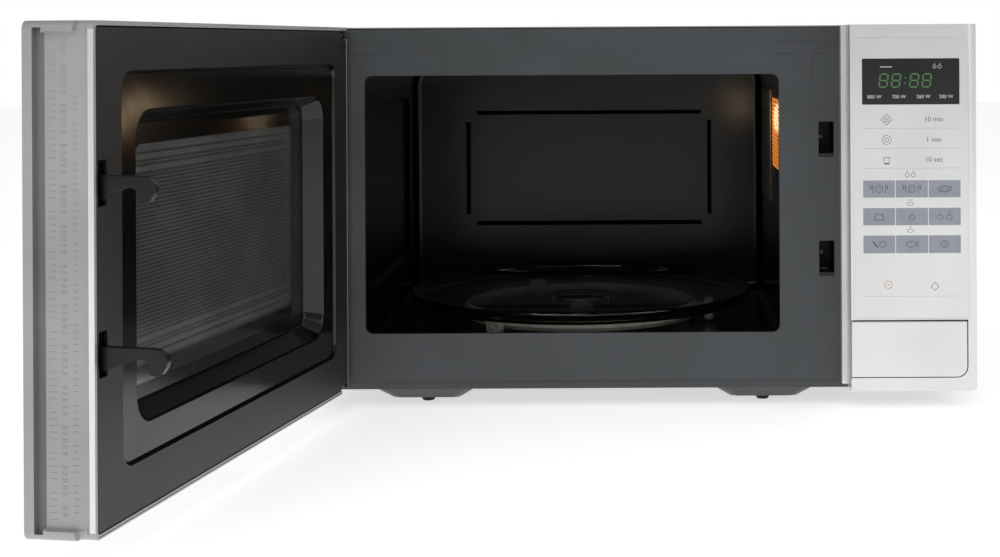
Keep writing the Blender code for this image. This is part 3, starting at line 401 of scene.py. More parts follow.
# The door frame's silver ABS with painted shade: the panel's silver darkened to stand in for the dark
# reflection on the frame, and less glossy
shadedDoorSilver = makeFinish("silver_abs_painted_shade", {
    "dark": "#A2A3A3", "light": "#ACADAD", "patchMm": 50, "grainMm": 0.6, "rough": (0.36, 0.46),
    "bump": 0.12, "bumpMm": 0.01, "metal": 0.3,
})
grooveShadeSilver = makeFinish("silver_abs_painted_groove_shade", {  # painted shade in the door's groove: the frame's silver darker still, and duller
    "dark": "#6E6F70", "light": "#78797A", "patchMm": 50, "grainMm": 0.6, "rough": (0.45, 0.55),
    "bump": 0.12, "bumpMm": 0.01,
})
# Grey baked enamel on sheet steel: near black-grey, half gloss, faint orange peel
greyEnamel = makeFinish("grey_baked_enamel", {
    "dark": "#35393C", "light": "#3B3F43", "patchMm": 45, "grainMm": 1.2, "rough": (0.38, 0.46),
    "bump": 0.1, "bumpMm": 0.012,
}, {"Coat Weight": 0.25, "Coat Roughness": 0.3})
# Black gloss enamel inside the cavity: mirrors softly, orange peel a few millimetres across
blackEnamel = makeFinish("black_gloss_enamel", {
    "dark": "#070807", "light": "#0C0D0C", "patchMm": 40, "grainMm": 3.5, "rough": (0.2, 0.27),
    "bump": 0.06, "bumpMm": 0.02,
}, {"Specular IOR Level": 0.3})
# Painted sheet steel of the outer cover: light grey with a slight texture
coverPaint = makeFinish("painted_cover_steel", {
    "dark": "#ACADAD", "light": "#AFB0B0", "patchMm": 80, "grainMm": 0.8, "rough": (0.36, 0.48),
    "bump": 0.18, "bumpMm": 0.02, "metal": 0.2,
})
blackRubber = makeFinish("black_rubber", {  # moulded rubber feet, dull
    "dark": "#0E0F0F", "light": "#191A1A", "patchMm": 5, "grainMm": 0.5, "rough": (0.65, 0.8),
    "bump": 0.3, "bumpMm": 0.03,
})
# Moulded black ABS with a fine spark-eroded grain: flat faces look soft black
blackAbs = makeFinish("grained_black_abs", {
    "dark": "#171716", "light": "#1E1E1D", "patchMm": 30, "grainMm": 0.7, "rough": (0.42, 0.55),
    "bump": 0.35, "bumpMm": 0.02,
})
recessAbs = makeFinish("gloss_black_abs", {  # the same ABS off a polished mould, inside the door's recess
    "dark": "#0C0C0C", "light": "#121211", "patchMm": 40, "grainMm": 5.0, "rough": (0.12, 0.18),
    "bump": 0.04, "bumpMm": 0.02,
}, {"Specular IOR Level": 0.45})
glossAbs = makeFinish("polished_black_abs", {  # acetal-like hooks, smoother than the cover
    "dark": "#070706", "light": "#0C0C0A", "patchMm": 12, "grainMm": 1.0, "rough": (0.26, 0.34),
    "bump": 0.08, "bumpMm": 0.01,
}, {"Specular IOR Level": 0.35})
zincPlate = makeFinish("zinc_plated_steel", {
    "dark": "#8F959B", "light": "#AEB4B8", "patchMm": 9, "grainMm": 0.8, "rough": (0.28, 0.42),
    "bump": 0.1, "bumpMm": 0.01, "metal": 1.0,
})
screenSteel = makeFinish("painted_screen_steel", {  # thin steel painted black-grey, satin
    "dark": "#5A5C5B", "light": "#666867", "patchMm": 30, "grainMm": 0.5, "rough": (0.38, 0.5),
    "bump": 0.1, "bumpMm": 0.01, "metal": 0.4,
})
whitePlastic = makeFinish("natural_acetal", {  # slightly creamy engineering plastic
    "dark": "#C9C6BD", "light": "#D8D5CC", "patchMm": 14, "grainMm": 0.9, "rough": (0.35, 0.5),
    "bump": 0.1, "bumpMm": 0.01,
}, {"Subsurface Weight": 0.1, "Subsurface Scale": 0.001})
greyPlastic = makeFinish("grey_moulded_nylon", {
    "dark": "#6F7173", "light": "#7D7F81", "patchMm": 14, "grainMm": 0.9, "rough": (0.4, 0.55),
    "bump": 0.15, "bumpMm": 0.015,
})
micaSheet = makeFinish("pressed_mica_sheet", {  # flaky golden-grey waveguide cover
    "dark": "#4B453A", "light": "#8B8473", "patchMm": 5, "grainMm": 1.0, "rough": (0.25, 0.5),
    "bump": 0.3, "bumpMm": 0.03, "stretch": (1, 0.5, 1),
})
aluminium = makeFinish("mill_finish_aluminium", {
    "dark": "#B4B6B8", "light": "#C9CBCC", "patchMm": 10, "grainMm": 0.5, "rough": (0.25, 0.4),
    "bump": 0.1, "bumpMm": 0.01, "metal": 1.0, "stretch": (1, 1, 6),
})
coreSteel = makeFinish("laminated_core_steel", {  # edges of stacked sheets, half a millimetre each
    "dark": "#3A3733", "light": "#6C6963", "patchMm": 1.0, "grainMm": 0.5, "rough": (0.4, 0.6),
    "bump": 0.4, "bumpMm": 0.05, "metal": 0.8, "stretch": (0.02, 1, 0.02),
})
copperWire = makeFinish("enamelled_copper_wire", {
    "dark": "#8A3F1C", "light": "#C06A34", "patchMm": 0.9, "grainMm": 0.9, "rough": (0.22, 0.35),
    "bump": 0.5, "bumpMm": 0.1, "metal": 0.9, "stretch": (0.05, 0.05, 1),
})
circuitBoard = makeFinish("phenolic_circuit_board", {
    "dark": "#8A6A3A", "light": "#A07F4C", "patchMm": 6, "grainMm": 0.8, "rough": (0.4, 0.55),
    "bump": 0.1, "bumpMm": 0.01,
})
displayBlack = makeFinish("black_display_glass", {  # polished window over the digits
    "dark": "#17181A", "light": "#1C1D1F", "patchMm": 40, "grainMm": 2.0, "rough": (0.16, 0.22),
    "bump": 0.02, "bumpMm": 0.005,
})
keypadFilm = makeFinish("silver_keypad_film", {  # screen-printed film, pearly silver
    "dark": "#E0E0DF", "light": "#E7E7E6", "patchMm": 70, "grainMm": 0.35, "rough": (0.26, 0.33),
    "bump": 0.04, "bumpMm": 0.004, "metal": 0.6,
})
keyInk = makeFinish("lavender_grey_ink", {
    "dark": "#9296A0", "light": "#999DA6", "patchMm": 8, "grainMm": 0.3, "rough": (0.4, 0.5),
    "bump": 0.05, "bumpMm": 0.003,
})
darkInk = makeFinish("dark_grey_ink", {
    "dark": "#4A4D55", "light": "#555860", "patchMm": 3, "grainMm": 0.3, "rough": (0.45, 0.55),
    "bump": 0.05, "bumpMm": 0.003,
})
redInk = makeFinish("red_ink", {
    "dark": "#B0505A", "light": "#BC5C66", "patchMm": 3, "grainMm": 0.3, "rough": (0.45, 0.55),
    "bump": 0.05, "bumpMm": 0.003,
})
whiteInk = makeFinish("white_ink", {
    "dark": "#C9CBCD", "light": "#D6D8DA", "patchMm": 3, "grainMm": 0.3, "rough": (0.45, 0.55),
    "bump": 0.05, "bumpMm": 0.003,
})
litDigits = makeFinish("lit_green_segments", {  # vacuum fluorescent digits, dim behind the window
    "dark": "#22402A", "light": "#2A4A30", "patchMm": 2, "grainMm": 0.3, "rough": (0.4, 0.5),
}, {"Emission Color": hexColour("#5E9A4A"), "Emission Strength": 0.35})
lampGlow = makeFinish("warm_lamp_glass", {  # the filament lamp that lights the cavity
    "dark": "#F2C98A", "light": "#FFE0B0", "patchMm": 6, "grainMm": 1.0, "rough": (0.2, 0.3),
}, {"Emission Color": hexColour("#FF9A3C"), "Emission Strength": 6.0})
grilleGlow = makeFinish("lamp_light_in_grille", {  # warm light caught by the edges of the punched holes
    "dark": "#8A4A16", "light": "#C9762A", "patchMm": 4, "grainMm": 1.0, "rough": (0.3, 0.4),
}, {"Emission Color": hexColour("#E88A2E"), "Emission Strength": 0.6})
smokedGlass = makeFinish("smoked_window_glass", {  # tinted sheet that lets a little light through
    "dark": "#0C0D0E", "light": "#121314", "patchMm": 80, "grainMm": 6.0, "rough": (0.05, 0.09),
    "bump": 0.01, "bumpMm": 0.01,
}, {"Transmission Weight": 0.35, "IOR": 1.49})
clearFilm = makeFinish("clear_polycarbonate_film", {
    "dark": "#E8EAEA", "light": "#F2F4F4", "patchMm": 60, "grainMm": 5.0, "rough": (0.06, 0.1),
    "bump": 0.02, "bumpMm": 0.01,
}, {"Transmission Weight": 1.0, "IOR": 1.2, "Alpha": 0.25})
trayGlass = makeFinish("pressed_soda_lime_glass", {  # clear, with a faint green-grey body
    "dark": "#DDE4E0", "light": "#E8EEEA", "patchMm": 60, "grainMm": 9.0, "rough": (0.03, 0.06),
    "bump": 0.03, "bumpMm": 0.02,
}, {"Transmission Weight": 1.0, "IOR": 1.5})

slotFinishes = {
    "grey_enamel": greyEnamel, "black_enamel": blackEnamel, "cover_steel": coverPaint,
    "rubber": blackRubber, "black_plastic": blackAbs, "zinc": zincPlate,
    "silver_plastic": silverPaint, "smoked_window": smokedGlass, "screen_steel": screenSteel,
    "clear_film": clearFilm, "tray_glass": trayGlass, "white_plastic": whitePlastic,
    "mica": micaSheet, "aluminium": aluminium, "core_steel": coreSteel, "copper": copperWire,
    "lamp_glass": lampGlow, "circuit_board": circuitBoard, "grey_plastic": greyPlastic,
    "keypad_film": keypadFilm, "display_black": displayBlack,
}
for node in frame["nodes"].values():
    for socket in node.material_slots:
        if socket.material:
            socket.material = slotFinishes[socket.material.name.split(".")[0]]
frame["nodes"]["latch_board"].material_slots[0].material = blackAbs
print("finishes made")

frontPlate = {
    "left": -220.5, "right": 154.3, "low": 19.0, "high": 258.2, "sheet": 0.8, "topRadius": 7.0,
    "openingLow": (-188.8, 51.0), "openingHigh": (93.2, 226.6), "openingRadius": 5.0, "lipDepth": 3.2,
    "slotX": 125.2, "slotHeights": (182.0, 101.0), "slotSize": (10.4, 24.0),
    "slotCorner": 0.8, "notch": ((-217.3, 249.9), (-202.7, 257.0)),
    "pressDepth": 0.65, "pressCorner": 4.3, "bar": ((88, 240), (129, 249)),
    "stem": ((108, 223), (116.6, 244)), "leftBar": ((-199, 241), (-169, 250)), "flangeDepth": 12,
}


def makeFrontPlate(v):
    plate = addBlock("front_plate", (v["left"], 0, v["low"]), (v["right"], v["sheet"], v["high"]))
    roundCorners(plate, "Y", v["topRadius"], 6, lambda p: p.x < 0 and p.z > 200)
    roundCorners(plate, "Y", 1.5, 3, lambda p: p.z < 30)
    (x0, z0), (x1, z1) = v["openingLow"], v["openingHigh"]
    lip, sheet = v["lipDepth"], v["sheet"]
    collar = roundBlock("collar", (x0 - sheet, 0.1, z0 - sheet), (x1 + sheet, lip, z1 + sheet), "Y",
                        v["openingRadius"] + sheet, 6)
    fuse(plate, collar)
    hole = roundBlock("hole", (x0, -2, z0), (x1, lip + 1, z1), "Y", v["openingRadius"], 6)
    cutters = [hole]
    for height in v["slotHeights"]:
        halfX, halfZ = v["slotSize"][0] / 2, v["slotSize"][1] / 2
        cutters.append(roundBlock("slot", (v["slotX"] - halfX, -2, height - halfZ),
                                  (v["slotX"] + halfX, 3, height + halfZ), "Y", v["slotCorner"], 2))
    # the notch that the upper hinge tongue comes through
    (a0, b0), (a1, b1) = v["notch"]
    cutters.append(addBlock("notch", (a0, -1, b0), (a1, 2, b1)))
    carve(plate, *cutters)

    def press(field, corner):
        (a0, b0), (a1, b1) = field
        return roundBlock("press", (a0, -1, b0), (a1, v["pressDepth"], b1), "Y", corner, 6)

    # a T pressed in at the right of the opening, and a bar at its left
    bar = press(v["bar"], v["pressCorner"])
    fuse(bar, press(v["stem"], v["pressCorner"] - 0.1))
    carve(plate, bar)
    carve(plate, press(v["leftBar"], v["pressCorner"]))
    # folded flanges behind the top and the left edge
    deep = v["flangeDepth"]
    fuse(plate, addBlock("flange", (v["left"] + 8, 0.4, v["high"] - sheet),
                         (v["right"] - 4, deep, v["high"])))
    fuse(plate, addBlock("flange", (v["left"], 0.4, 30), (v["left"] + sheet, deep, v["high"] - 9)))
    soften(plate, 0.35, 2, 40)
    finishPiece(plate, "front_plate_shell", "cabinet", greyEnamel, cabinetPlace, ["front_plate"],
                30)


makeFrontPlate(frontPlate)
print("front plate")

liner = {
    "low": (-196.8, 37.0), "high": (101.2, 240.0), "front": 1.1, "back": 308.0, "flange": 6.0,
    "floorRadius": 6.0, "topRadius": 28.0, "backRadius": 5.6, "sheet": 0.8,
    "backPress": ((-153, 91.5), (59, 190.6)), "pressDepth": 3.0, "leftPress": ((82, 70), (274, 205)),
    "pressSlope": 3.5, "pressCorner": 10.0, "floorCorner": 7.0,
    "holesY": (107.5, 162.0), "holesZ": (154.5, 206.5), "holePitch": 3.6, "holeRadius": 1.25,
    "glowFlat": 0.14, "shaftAt": (-47.8, 147), "shaftRadius": 5,
    "guideLow": (195, 139), "guideHigh": (255, 195),
}


def pressField(shell, axis, wall, deep, field, v):
    # deep is how far the field goes out, with its sign along the axis
    (a0, b0), (a1, b1) = field
    side = math.copysign(1, deep)
    ends = sorted((wall + side * 0.3, wall + deep + side * 0.8))
    if axis == "Y":
        low, high = (a0 - 1, ends[0], b0 - 1), (a1 + 1, ends[1], b1 + 1)
    else:
        low, high = (ends[0], a0 - 1, b0 - 1), (ends[1], a1 + 1, b1 + 1)
    fuse(shell, roundBlock("pad", low, high, axis, v["pressCorner"], 6))
    slope = v["pressSlope"]
    carve(shell, loft("press", axis, [
        (wall - side, (a0, b0), (a1, b1), v["pressCorner"]),
        (wall, (a0, b0), (a1, b1), v["pressCorner"]),
        (wall + deep, (a0 + slope, b0 + slope), (a1 - slope, b1 - slope), v["floorCorner"]),
    ], closeFirst=True, closeLast=True))


def makeLiner(v):
    (x0, z0), (x1, z1) = v["low"], v["high"]
    small, large, round_ = v["floorRadius"], v["topRadius"], v["backRadius"]

    def loop(level, inward):
        return (level, (x0 + inward, z0 + inward), (x1 - inward, z1 - inward),
                (small - inward, large - inward))

    loops = [loop(v["front"], -v["flange"]), loop(v["front"], 0)]
    for step in range(5):
        angle = math.radians(22.5 * step)
        loops.append(loop(v["back"] - round_ * (1 - math.sin(angle)), round_ * (1 - math.cos(angle))))
    shell = loft("cavity_liner_shell", "Y", loops, steps=8, closeLast=True)
    openWhole(shell, "FACE")
    bpy.ops.mesh.normals_make_consistent(inside=True)
    closeEdit()
    thicken(shell, v["sheet"], -1)
    # pressed fields in the back and the left wall, each with a pad behind it that keeps the sheet whole
    deep = v["pressDepth"]
    pressField(shell, "Y", v["back"], deep, v["backPress"], v)
    pressField(shell, "X", x0, -deep, v["leftPress"], v)
    # the lamp's grille: rows of punched holes, every second row half a pitch along
    pitch = v["holePitch"]
    holes = []
    rows = int((v["holesZ"][1] - v["holesZ"][0]) / (pitch * 0.866)) + 1
    columns = int((v["holesY"][1] - v["holesY"][0]) / pitch)
    first = addRod("punch", (x1, v["holesY"][0], v["holesZ"][0]), v["holeRadius"], 6, "X", 8)
    for row in range(rows):
        for column in range(columns):
            move = (0, column * pitch + (row % 2) * pitch / 2, row * pitch * 0.866)
            holes.append(copyOf(first, "punch", move))
    bpy.data.objects.remove(first, do_unlink=True)
    beads = [copyOf(hole, "bead") for hole in holes]
    carve(shell, *holes)
    glow = joinAll(beads)
    openWhole(glow, "VERT")
    bpy.ops.transform.resize(value=(v["glowFlat"], 1, 1), center_override=((x1 - 0.05) / 1000, 0, 0))
    closeEdit()
    finishPiece(glow, "lamp_grille_glow", "cabinet", grilleGlow, cabinetPlace, (), 0)
    carve(shell, addRod("bore", (*v["shaftAt"], z0), v["shaftRadius"], 8, "Z", 24))
    carve(shell, addBlock("guide", (x1 - 2, *v["guideLow"]), (x1 + 2, *v["guideHigh"])))
    finishPiece(shell, "cavity_liner_shell", "cabinet", blackEnamel, cabinetPlace, ["cavity_liner"],
                40)


makeLiner(liner)
print("cavity liner")

doorFrame = {
    "hingeEdge": -11.5, "end": 346.5, "innerEnd": 343.5, "stepAt": 2.0, "outer": -23.5, "inner": 11.0,
    "low": 15.0, "high": 259.5, "wall": 2.3, "corner": 4.0,
    "windowLow": (30.0, 48.0), "windowHigh": (306.5, 230.0),
    "bandEdge": -18.4, "grooveFloor": 342.7, "plateEdge": -14.4, "plateEnd": 7.0, "plateFloor": 343.0,
    "bossHeights": ((236.5, 251.5), (19.8, 34.5)), "boreHeights": (244, 25), "boreRadius": 2.75,
    "slantDegrees": 9.5, "markColumns": (-10.3, -4.6, 1.2), "markHeight": 3.3, "markLift": 0.25,
}


def makeDoorFrame(v):
    end, back = v["end"], v["innerEnd"]
    outer, inner, step = v["outer"], v["inner"], v["stepAt"]
    low, high, wall = v["low"], v["high"], v["wall"]
    tub = roundBlock("door_frame_shell", (v["hingeEdge"], outer, low), (end, step, high), "Y",
                     v["corner"], 5)
    fuse(tub, roundBlock("rear", (v["hingeEdge"], step - 1, low), (back, inner, high), "Y", v["corner"], 5))
    carve(tub, roundBlock("inside", (-2.3, outer + wall, low + wall), (back - wall, inner + 1, high - wall),
                          "Y", 2.0, 3))
    carve(tub, roundBlock("window", (v["windowLow"][0], outer - 1, v["windowLow"][1]),
                          (v["windowHigh"][0], outer + 6, v["windowHigh"][1]), "Y", 6.0, 5))
    # the end face: an outer band, a groove, and a long plate let in with round corners
    carve(tub, roundBlock("groove", (v["grooveFloor"], v["bandEdge"], low + 3.2),
                          (end + 2, v["plateEdge"] + 0.5, high - 3.2), "X", 0.6, 2))
    carve(tub, roundBlock("plate", (v["plateFloor"], v["plateEdge"], low + 5.0),
                          (end + 2, v["plateEnd"], high - 5.0), "X", 2.2, 4))
    carve(tub, addBlock("rim", (back - 0.4, v["plateEnd"] - 0.1, low + 3.4),
                        (end + 2, v["plateEnd"] + 1.1, high - 3.4)))
    # a long groove near the edge of the lower and the upper rim
    carve(tub, addBlock("line", (12, inner - 0.8, low + 0.9), (back - 3, inner + 1, low + 1.35)))
    # slanted hinge edge
    edge, slant, far = inner + 0.4, math.tan(math.radians(v["slantDegrees"])), -outer + 1
    corner = [(-14, -far), (-14, 13), (0, 13)]
    for turn in range(7):
        angle = math.radians(90 + 15 * turn)
        corner.append((edge * math.cos(angle), edge * math.sin(angle)))
    corner.append((far * slant - edge, -far))
    carve(tub, prism("corner", [(x, y, 0) for x, y in corner], (0, 0, high + 1)))
    carve(tub, addBlock("tongue", (-13, -10.5, 251.5), (9, 12, 257.5)),
          addBlock("tongue", (-13, -10.5, low - 1), (9, 12, 19.8)))
    for bossLow, bossHigh in v["bossHeights"]:
        fuse(tub, addBlock("boss", (-3, -10, bossLow), (8, 4.6, bossHigh)))
    carve(tub, *[addRod("bore", (0, 0, height), v["boreRadius"], 20, "Z", 24)
                 for height in v["boreHeights"]])
    soften(tub, 0.4, 3, 40)
    useFinishes(tub, [shadedDoorSilver, silverPaint, grooveShadeSilver])
    for face in tub.data.polygons:
        u, w = face.center.x * 1000, face.center.y * 1000
        # painted highlight on the band beside the black cover, which takes the brighter panel silver, and
        # painted shade in the groove
        if u > back - 0.6 and w > v["plateEnd"] + 0.9:
            face.material_index = 1
        elif v["grooveFloor"] - 0.1 < u < end - 0.3 and v["bandEdge"] < w < v["plateEdge"] + 0.5:
            face.material_index = 2
    finishPiece(tub, "door_frame_shell", "door", None, doorPlace, ["door_frame"], 30)


def makeEndMarks(v):
    # three lines of small raised strokes that read as moulded marks and say nothing
    base = v["plateFloor"]
    patterns = [((0.0, 1.0),), ((0.0, 1.0), (0.55, 0.6)), ((0.0, 0.6), (0.5, 1.0)),
                ((0.0, 1.0), (0.9, 1.0)), ((0.3, 0.7),)]
    strokes = []
    for column, w in enumerate(v["markColumns"]):
        top = 251.0 - (0, 0, 26)[column]
        z = 24.5 + (0, 2, 3)[column]
        count = 0
        while z < top:
            count += 1
            if (count * 7 + column * 3) % 6 == 0:
                z += 3.4
                continue
            for shift, tall in patterns[(count * 5 + column * 2) % 5]:
                halfTall = v["markHeight"] * tall / 2
                foot = z + shift * 1.9
                strokes.append(addBlock("stroke", (base - 0.05, w - halfTall, foot),
                                        (base + v["markLift"], w + halfTall, foot + 0.42)))
            z += 3.1
    # the strokes take the door frame's silver, darkened as painted shade
    finishPiece(joinAll(strokes), "door_end_marks", "door", shadedDoorSilver, doorPlace, (), 30)


makeDoorFrame(doorFrame)
makeEndMarks(doorFrame)
print("door frame")

chokeCover = {
    "low": (-1.9, 18.0), "high": (340.9, 256.5), "face": 11.0, "skirt": 5.0, "shelf": 9.3, "bottom": -2.6,
    "wall": 1.6, "slotU": 335.2, "slotWidth": 8.4, "hookHeights": (182.0, 101.0),
}


def makeChokeCover(v):
    cover = loft("door_choke_cover_shell", "Y", [
        (v["skirt"], v["low"], v["high"], 2.0),
        (v["face"] - 0.4, v["low"], v["high"], 2.0),
        (v["face"], (v["low"][0] + 0.4, v["low"][1] + 0.4), (v["high"][0] - 0.4, v["high"][1] - 0.4), 1.6),
        (v["face"], (19.6, 41.6), (315.7, 235.4), 9.4),
        (v["face"] - 0.25, (20.1, 42.1), (315.2, 234.9), 9.0),
        (v["shelf"] + 0.2, (21.3, 43.3), (314.0, 233.7), 8.2),
        (v["shelf"], (21.8, 43.8), (313.5, 233.2), 7.8),
        (v["shelf"], (37.2, 58.2), (298.1, 215.8), 15.8),
        (v["shelf"] - 0.3, (38.0, 59.0), (297.3, 215.0), 15.0),
        (v["shelf"] - 1.2, (38.8, 59.8), (296.5, 214.3), 14.4),
        (v["bottom"] + 1.2, (43.2, 65.2), (292.1, 209.8), 10.7),
        (v["bottom"] + 0.3, (44.0, 66.0), (291.3, 209.0), 10.2),
        (v["bottom"], (45.0, 67.0), (290.3, 208.0), 9.2),
        (v["bottom"], (60.0, 82.0), (275.3, 197.0), 6.0),
    ], steps=8)
    faceAlongY(cover)
    thicken(cover, v["wall"], -1)
    half = v["slotWidth"] / 2
    slots = [addBlock("slot", (v["slotU"] - half, 0, z - 10.5), (v["slotU"] + half, 15, z + 11.5))
             for z in v["hookHeights"]]
    carve(cover, *slots)
    carve(cover, addBlock("tongue", (-5, 0, 251.0), (9.5, 15, 260)),
          addBlock("tongue", (-5, 0, 0), (9.5, 15, 20.3)))
    useFinishes(cover, [blackAbs, recessAbs])
    for face in cover.data.polygons:
        u, w, z = face.center * 1000
        if 19.7 < u < 315.6 and 41.7 < z < 235.3 and w < v["face"] - 0.02:
            face.material_index = 1
    finishPiece(cover, "door_choke_cover_shell", "door", None, doorPlace, ["door_choke_cover"],
                35)


makeChokeCover(chokeCover)
print("choke cover")

steelPanel = {
    "low": (9.0, 24.0), "high": (326.0, 251.0), "skirt": -12.0, "ridge": 6.1, "middle": -5.2, "sheet": 0.6,
    "fieldLow": (64.0, 86.0), "pitch": (2.0, 2.1), "columns": 104, "rows": 51, "bridge": 0.34,
    "plainRows": (1, 4, 46, 49), "weldWithin": 0.01,
}


def makeSteelPanel(v):
    fieldHigh = (v["fieldLow"][0] + v["pitch"][0] * (v["columns"] + 0.5),
                 v["fieldLow"][1] + v["pitch"][1] * v["rows"])
    panel = loft("door_steel_panel_shell", "Y", [
        (v["skirt"], v["low"], v["high"], 3.0),
        (v["ridge"], v["low"], v["high"], 3.0),
        (v["ridge"], (33.0, 54.0), (304.4, 220.0), 12.0),
        (v["middle"], (39.0, 61.0), (298.0, 214.0), 9.0),
        (v["middle"], v["fieldLow"], fieldHigh, 0.02),
    ], steps=5)
    faceAlongY(panel)
    thicken(panel, v["sheet"], -1)
    finishPiece(panel, "door_steel_panel_shell", "door", screenSteel, doorPlace, ["door_steel_panel"],
                35)


def makeScreen(v):
    # one cell is a six-sided hole in a rectangle whose upper and lower edges have a point in the middle
    wide, tall = v["pitch"]
    clearSelection()
    bpy.ops.mesh.primitive_plane_add(size=0.001, rotation=(-math.pi / 2, 0, 0))
    cell = bpy.context.active_object
    cell.scale = (wide, tall, 1)
    applyScale(cell)
    pickEdges(cell, lambda a, b: abs(a.z - b.z) < 1e-4)
    bpy.ops.mesh.subdivide(number_cuts=1)
    closeEdit()
    pickFaces(cell, lambda middle, normal: True)
    bpy.ops.mesh.inset(thickness=v["bridge"] / 1000, depth=0)
    bpy.ops.transform.tosphere(value=1)
    bpy.ops.mesh.delete(type="FACE")
    closeEdit()
    applyModifier(cell, "ARRAY", {"count": v["columns"], "relative_offset_displace": (1, 0, 0),
                                  "use_merge_vertices": True, "merge_threshold": v["weldWithin"] / 1000})
    rows = []
    for row in range(v["rows"]):
        shift = (row % 2) * wide / 2
        x0, z0 = v["fieldLow"][0], v["fieldLow"][1] + row * tall
        x1 = x0 + wide * (v["columns"] + 0.5)
        if row in v["plainRows"]:
            spans = [(x0, x1)]
        else:
            rows.append(copyOf(cell, "row", (x0 + shift + wide / 2, v["middle"], z0 + tall / 2)))
            spans = [(x0, x0 + shift)] if shift else [(x1 - wide / 2, x1)]
        for a, b in spans:
            clearSelection()
            place = [n / 1000 for n in ((a + b) / 2, v["middle"], z0 + tall / 2)]
            bpy.ops.mesh.primitive_plane_add(size=0.001, location=place, rotation=(-math.pi / 2, 0, 0))
            strip = bpy.context.active_object
            strip.scale = (b - a, tall, 1)
            applyScale(strip)
            rows.append(strip)
    bpy.data.objects.remove(cell, do_unlink=True)
    field = joinAll(rows)
    openWhole(field, "VERT")
    bpy.ops.mesh.remove_doubles(threshold=v["weldWithin"] / 1000)
    bpy.ops.mesh.normals_make_consistent(inside=False)
    closeEdit()
    faceAlongY(field)
    thicken(field, v["sheet"], -1)
    finishPiece(field, "door_screen_field", "door", screenSteel, doorPlace, (), 30)


makeSteelPanel(steelPanel)
makeScreen(steelPanel)
print("door screen")

hookBar = {
    "u": 335.2, "width": 4.6, "front": -15.0, "back": -8.0, "low": 79.0, "high": 202.0, "inner": 11.0,
    "hooks": ((182.0, 28.0), (101.0, 33.5)),
}


def makeHooks(v):
    left = v["u"] - v["width"] / 2
    bar = addBlock("door_hook_bar_shell", (left, v["front"], v["low"]),
                   (left + v["width"], v["back"], v["high"]))
    for height, reach in v["hooks"]:
        tip, low, inner = v["inner"] + reach, height - 9, v["inner"]
        outline = [
            (-10, low + 1), (inner, low + 1.5), (tip - 15, low + 7.6), (tip - 11.5, low + 7.4),
            (tip - 10.2, low + 6.0), (tip - 9.4, low + 1.6), (tip - 8.2, low + 0.3), (tip - 6, low),
            (tip - 3, low + 1), (tip - 0.8, low + 4.4), (tip, low + 7), (tip - 0.6, low + 9.2),
            (tip - 2, low + 11), (tip - 4.6, low + 12.5), (tip - 8, low + 13), (inner, low + 13.5),
            (-10, low + 15.5),
        ]
        fuse(bar, prism("hook", [(left, w, z) for w, z in outline], (v["width"], 0, 0)))
    soften(bar, 0.55, 2, 40)
    finishPiece(bar, "door_hook_bar_shell", "hook_bar", glossAbs, doorPlace, ["door_hook_bar"],
                40)


def makeSpring():
    # the coil that presses the hook bar down, squeezed between the bar and the frame
    coil = copyOf(frame["nodes"]["door_hook_spring"], "door_hook_spring_coil")
    faceOut(coil)
    finishPiece(coil, "door_hook_spring_coil", "door", zincPlate, Matrix.Identity(4), ["door_hook_spring"],
                60)
    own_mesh(coil)


makeHooks(hookBar)
makeSpring()

windowSheet = {"low": (22.0, -20.9, 40.0), "high": (314.5, -17.9, 238.0), "corner": 3.0}
innerFilm = {"low": (52.0, -2.3, 74.0), "high": (284.0, -1.8, 205.0), "corner": 4.0}


def makeSheet(v, name, node, material):
    sheet = roundBlock(name, v["low"], v["high"], "Y", v["corner"], 5)
    soften(sheet, 0.12, 1, 50)
    finishPiece(sheet, name, "door", material, doorPlace, [node], 30)


makeSheet(windowSheet, "door_outer_window_sheet", "door_outer_window", smokedGlass)
makeSheet(innerFilm, "door_inner_film_sheet", "door_inner_film", clearFilm)
print("door inside")

tray = {
    "radius": 130.5, "under": 51.3, "floor": 55.8, "rim": 61.7,
    "ribRadii": (24.0, 92.0), "bossRadius": 2.6, "bossAt": 22.0, "bossLength": 5,
}


def makeTray(v):
    edge, under, floor, rim = v["radius"], v["under"], v["floor"], v["rim"]
    profile = [
        (0, under), (edge - 15, under), (edge - 12.5, under + 0.15), (edge - 8, under + 1.0),
        (edge - 4.6, under + 2.6), (edge - 1.6, rim - 4.2), (edge - 0.2, rim - 2.4), (edge, rim - 1.5),
        (edge - 0.3, rim - 0.6), (edge - 1.2, rim - 0.05), (edge - 2.2, rim), (edge - 3.0, rim - 0.4),
        (edge - 4.4, rim - 1.6), (edge - 7.4, floor + 2.2), (edge - 10.5, floor + 0.7),
        (edge - 14, floor + 0.15), (edge - 18, floor), (v["ribRadii"][1] + 1.2, floor),
        (v["ribRadii"][1], floor - 0.5),
        (v["ribRadii"][1] - 1.2, floor), (v["ribRadii"][0] + 1.0, floor), (v["ribRadii"][0], floor - 0.5),
        (v["ribRadii"][0] - 1.0, floor), (0, floor),
    ]
    glass = turnProfile("turntable_tray_glass", profile, 128)
    bosses = []
    for index in range(3):
        angle = math.radians(90 + 120 * index)
        place = (v["bossAt"] * math.cos(angle), v["bossAt"] * math.sin(angle), under - 1.5)
        bosses.append(addRod("boss", place, v["bossRadius"], v["bossLength"], "Z", 20))
    fuse(glass, joinAll(bosses))
    finishPiece(glass, "turntable_tray_glass", "tray", trayGlass, tablePlace, ["turntable_tray"],
                50)


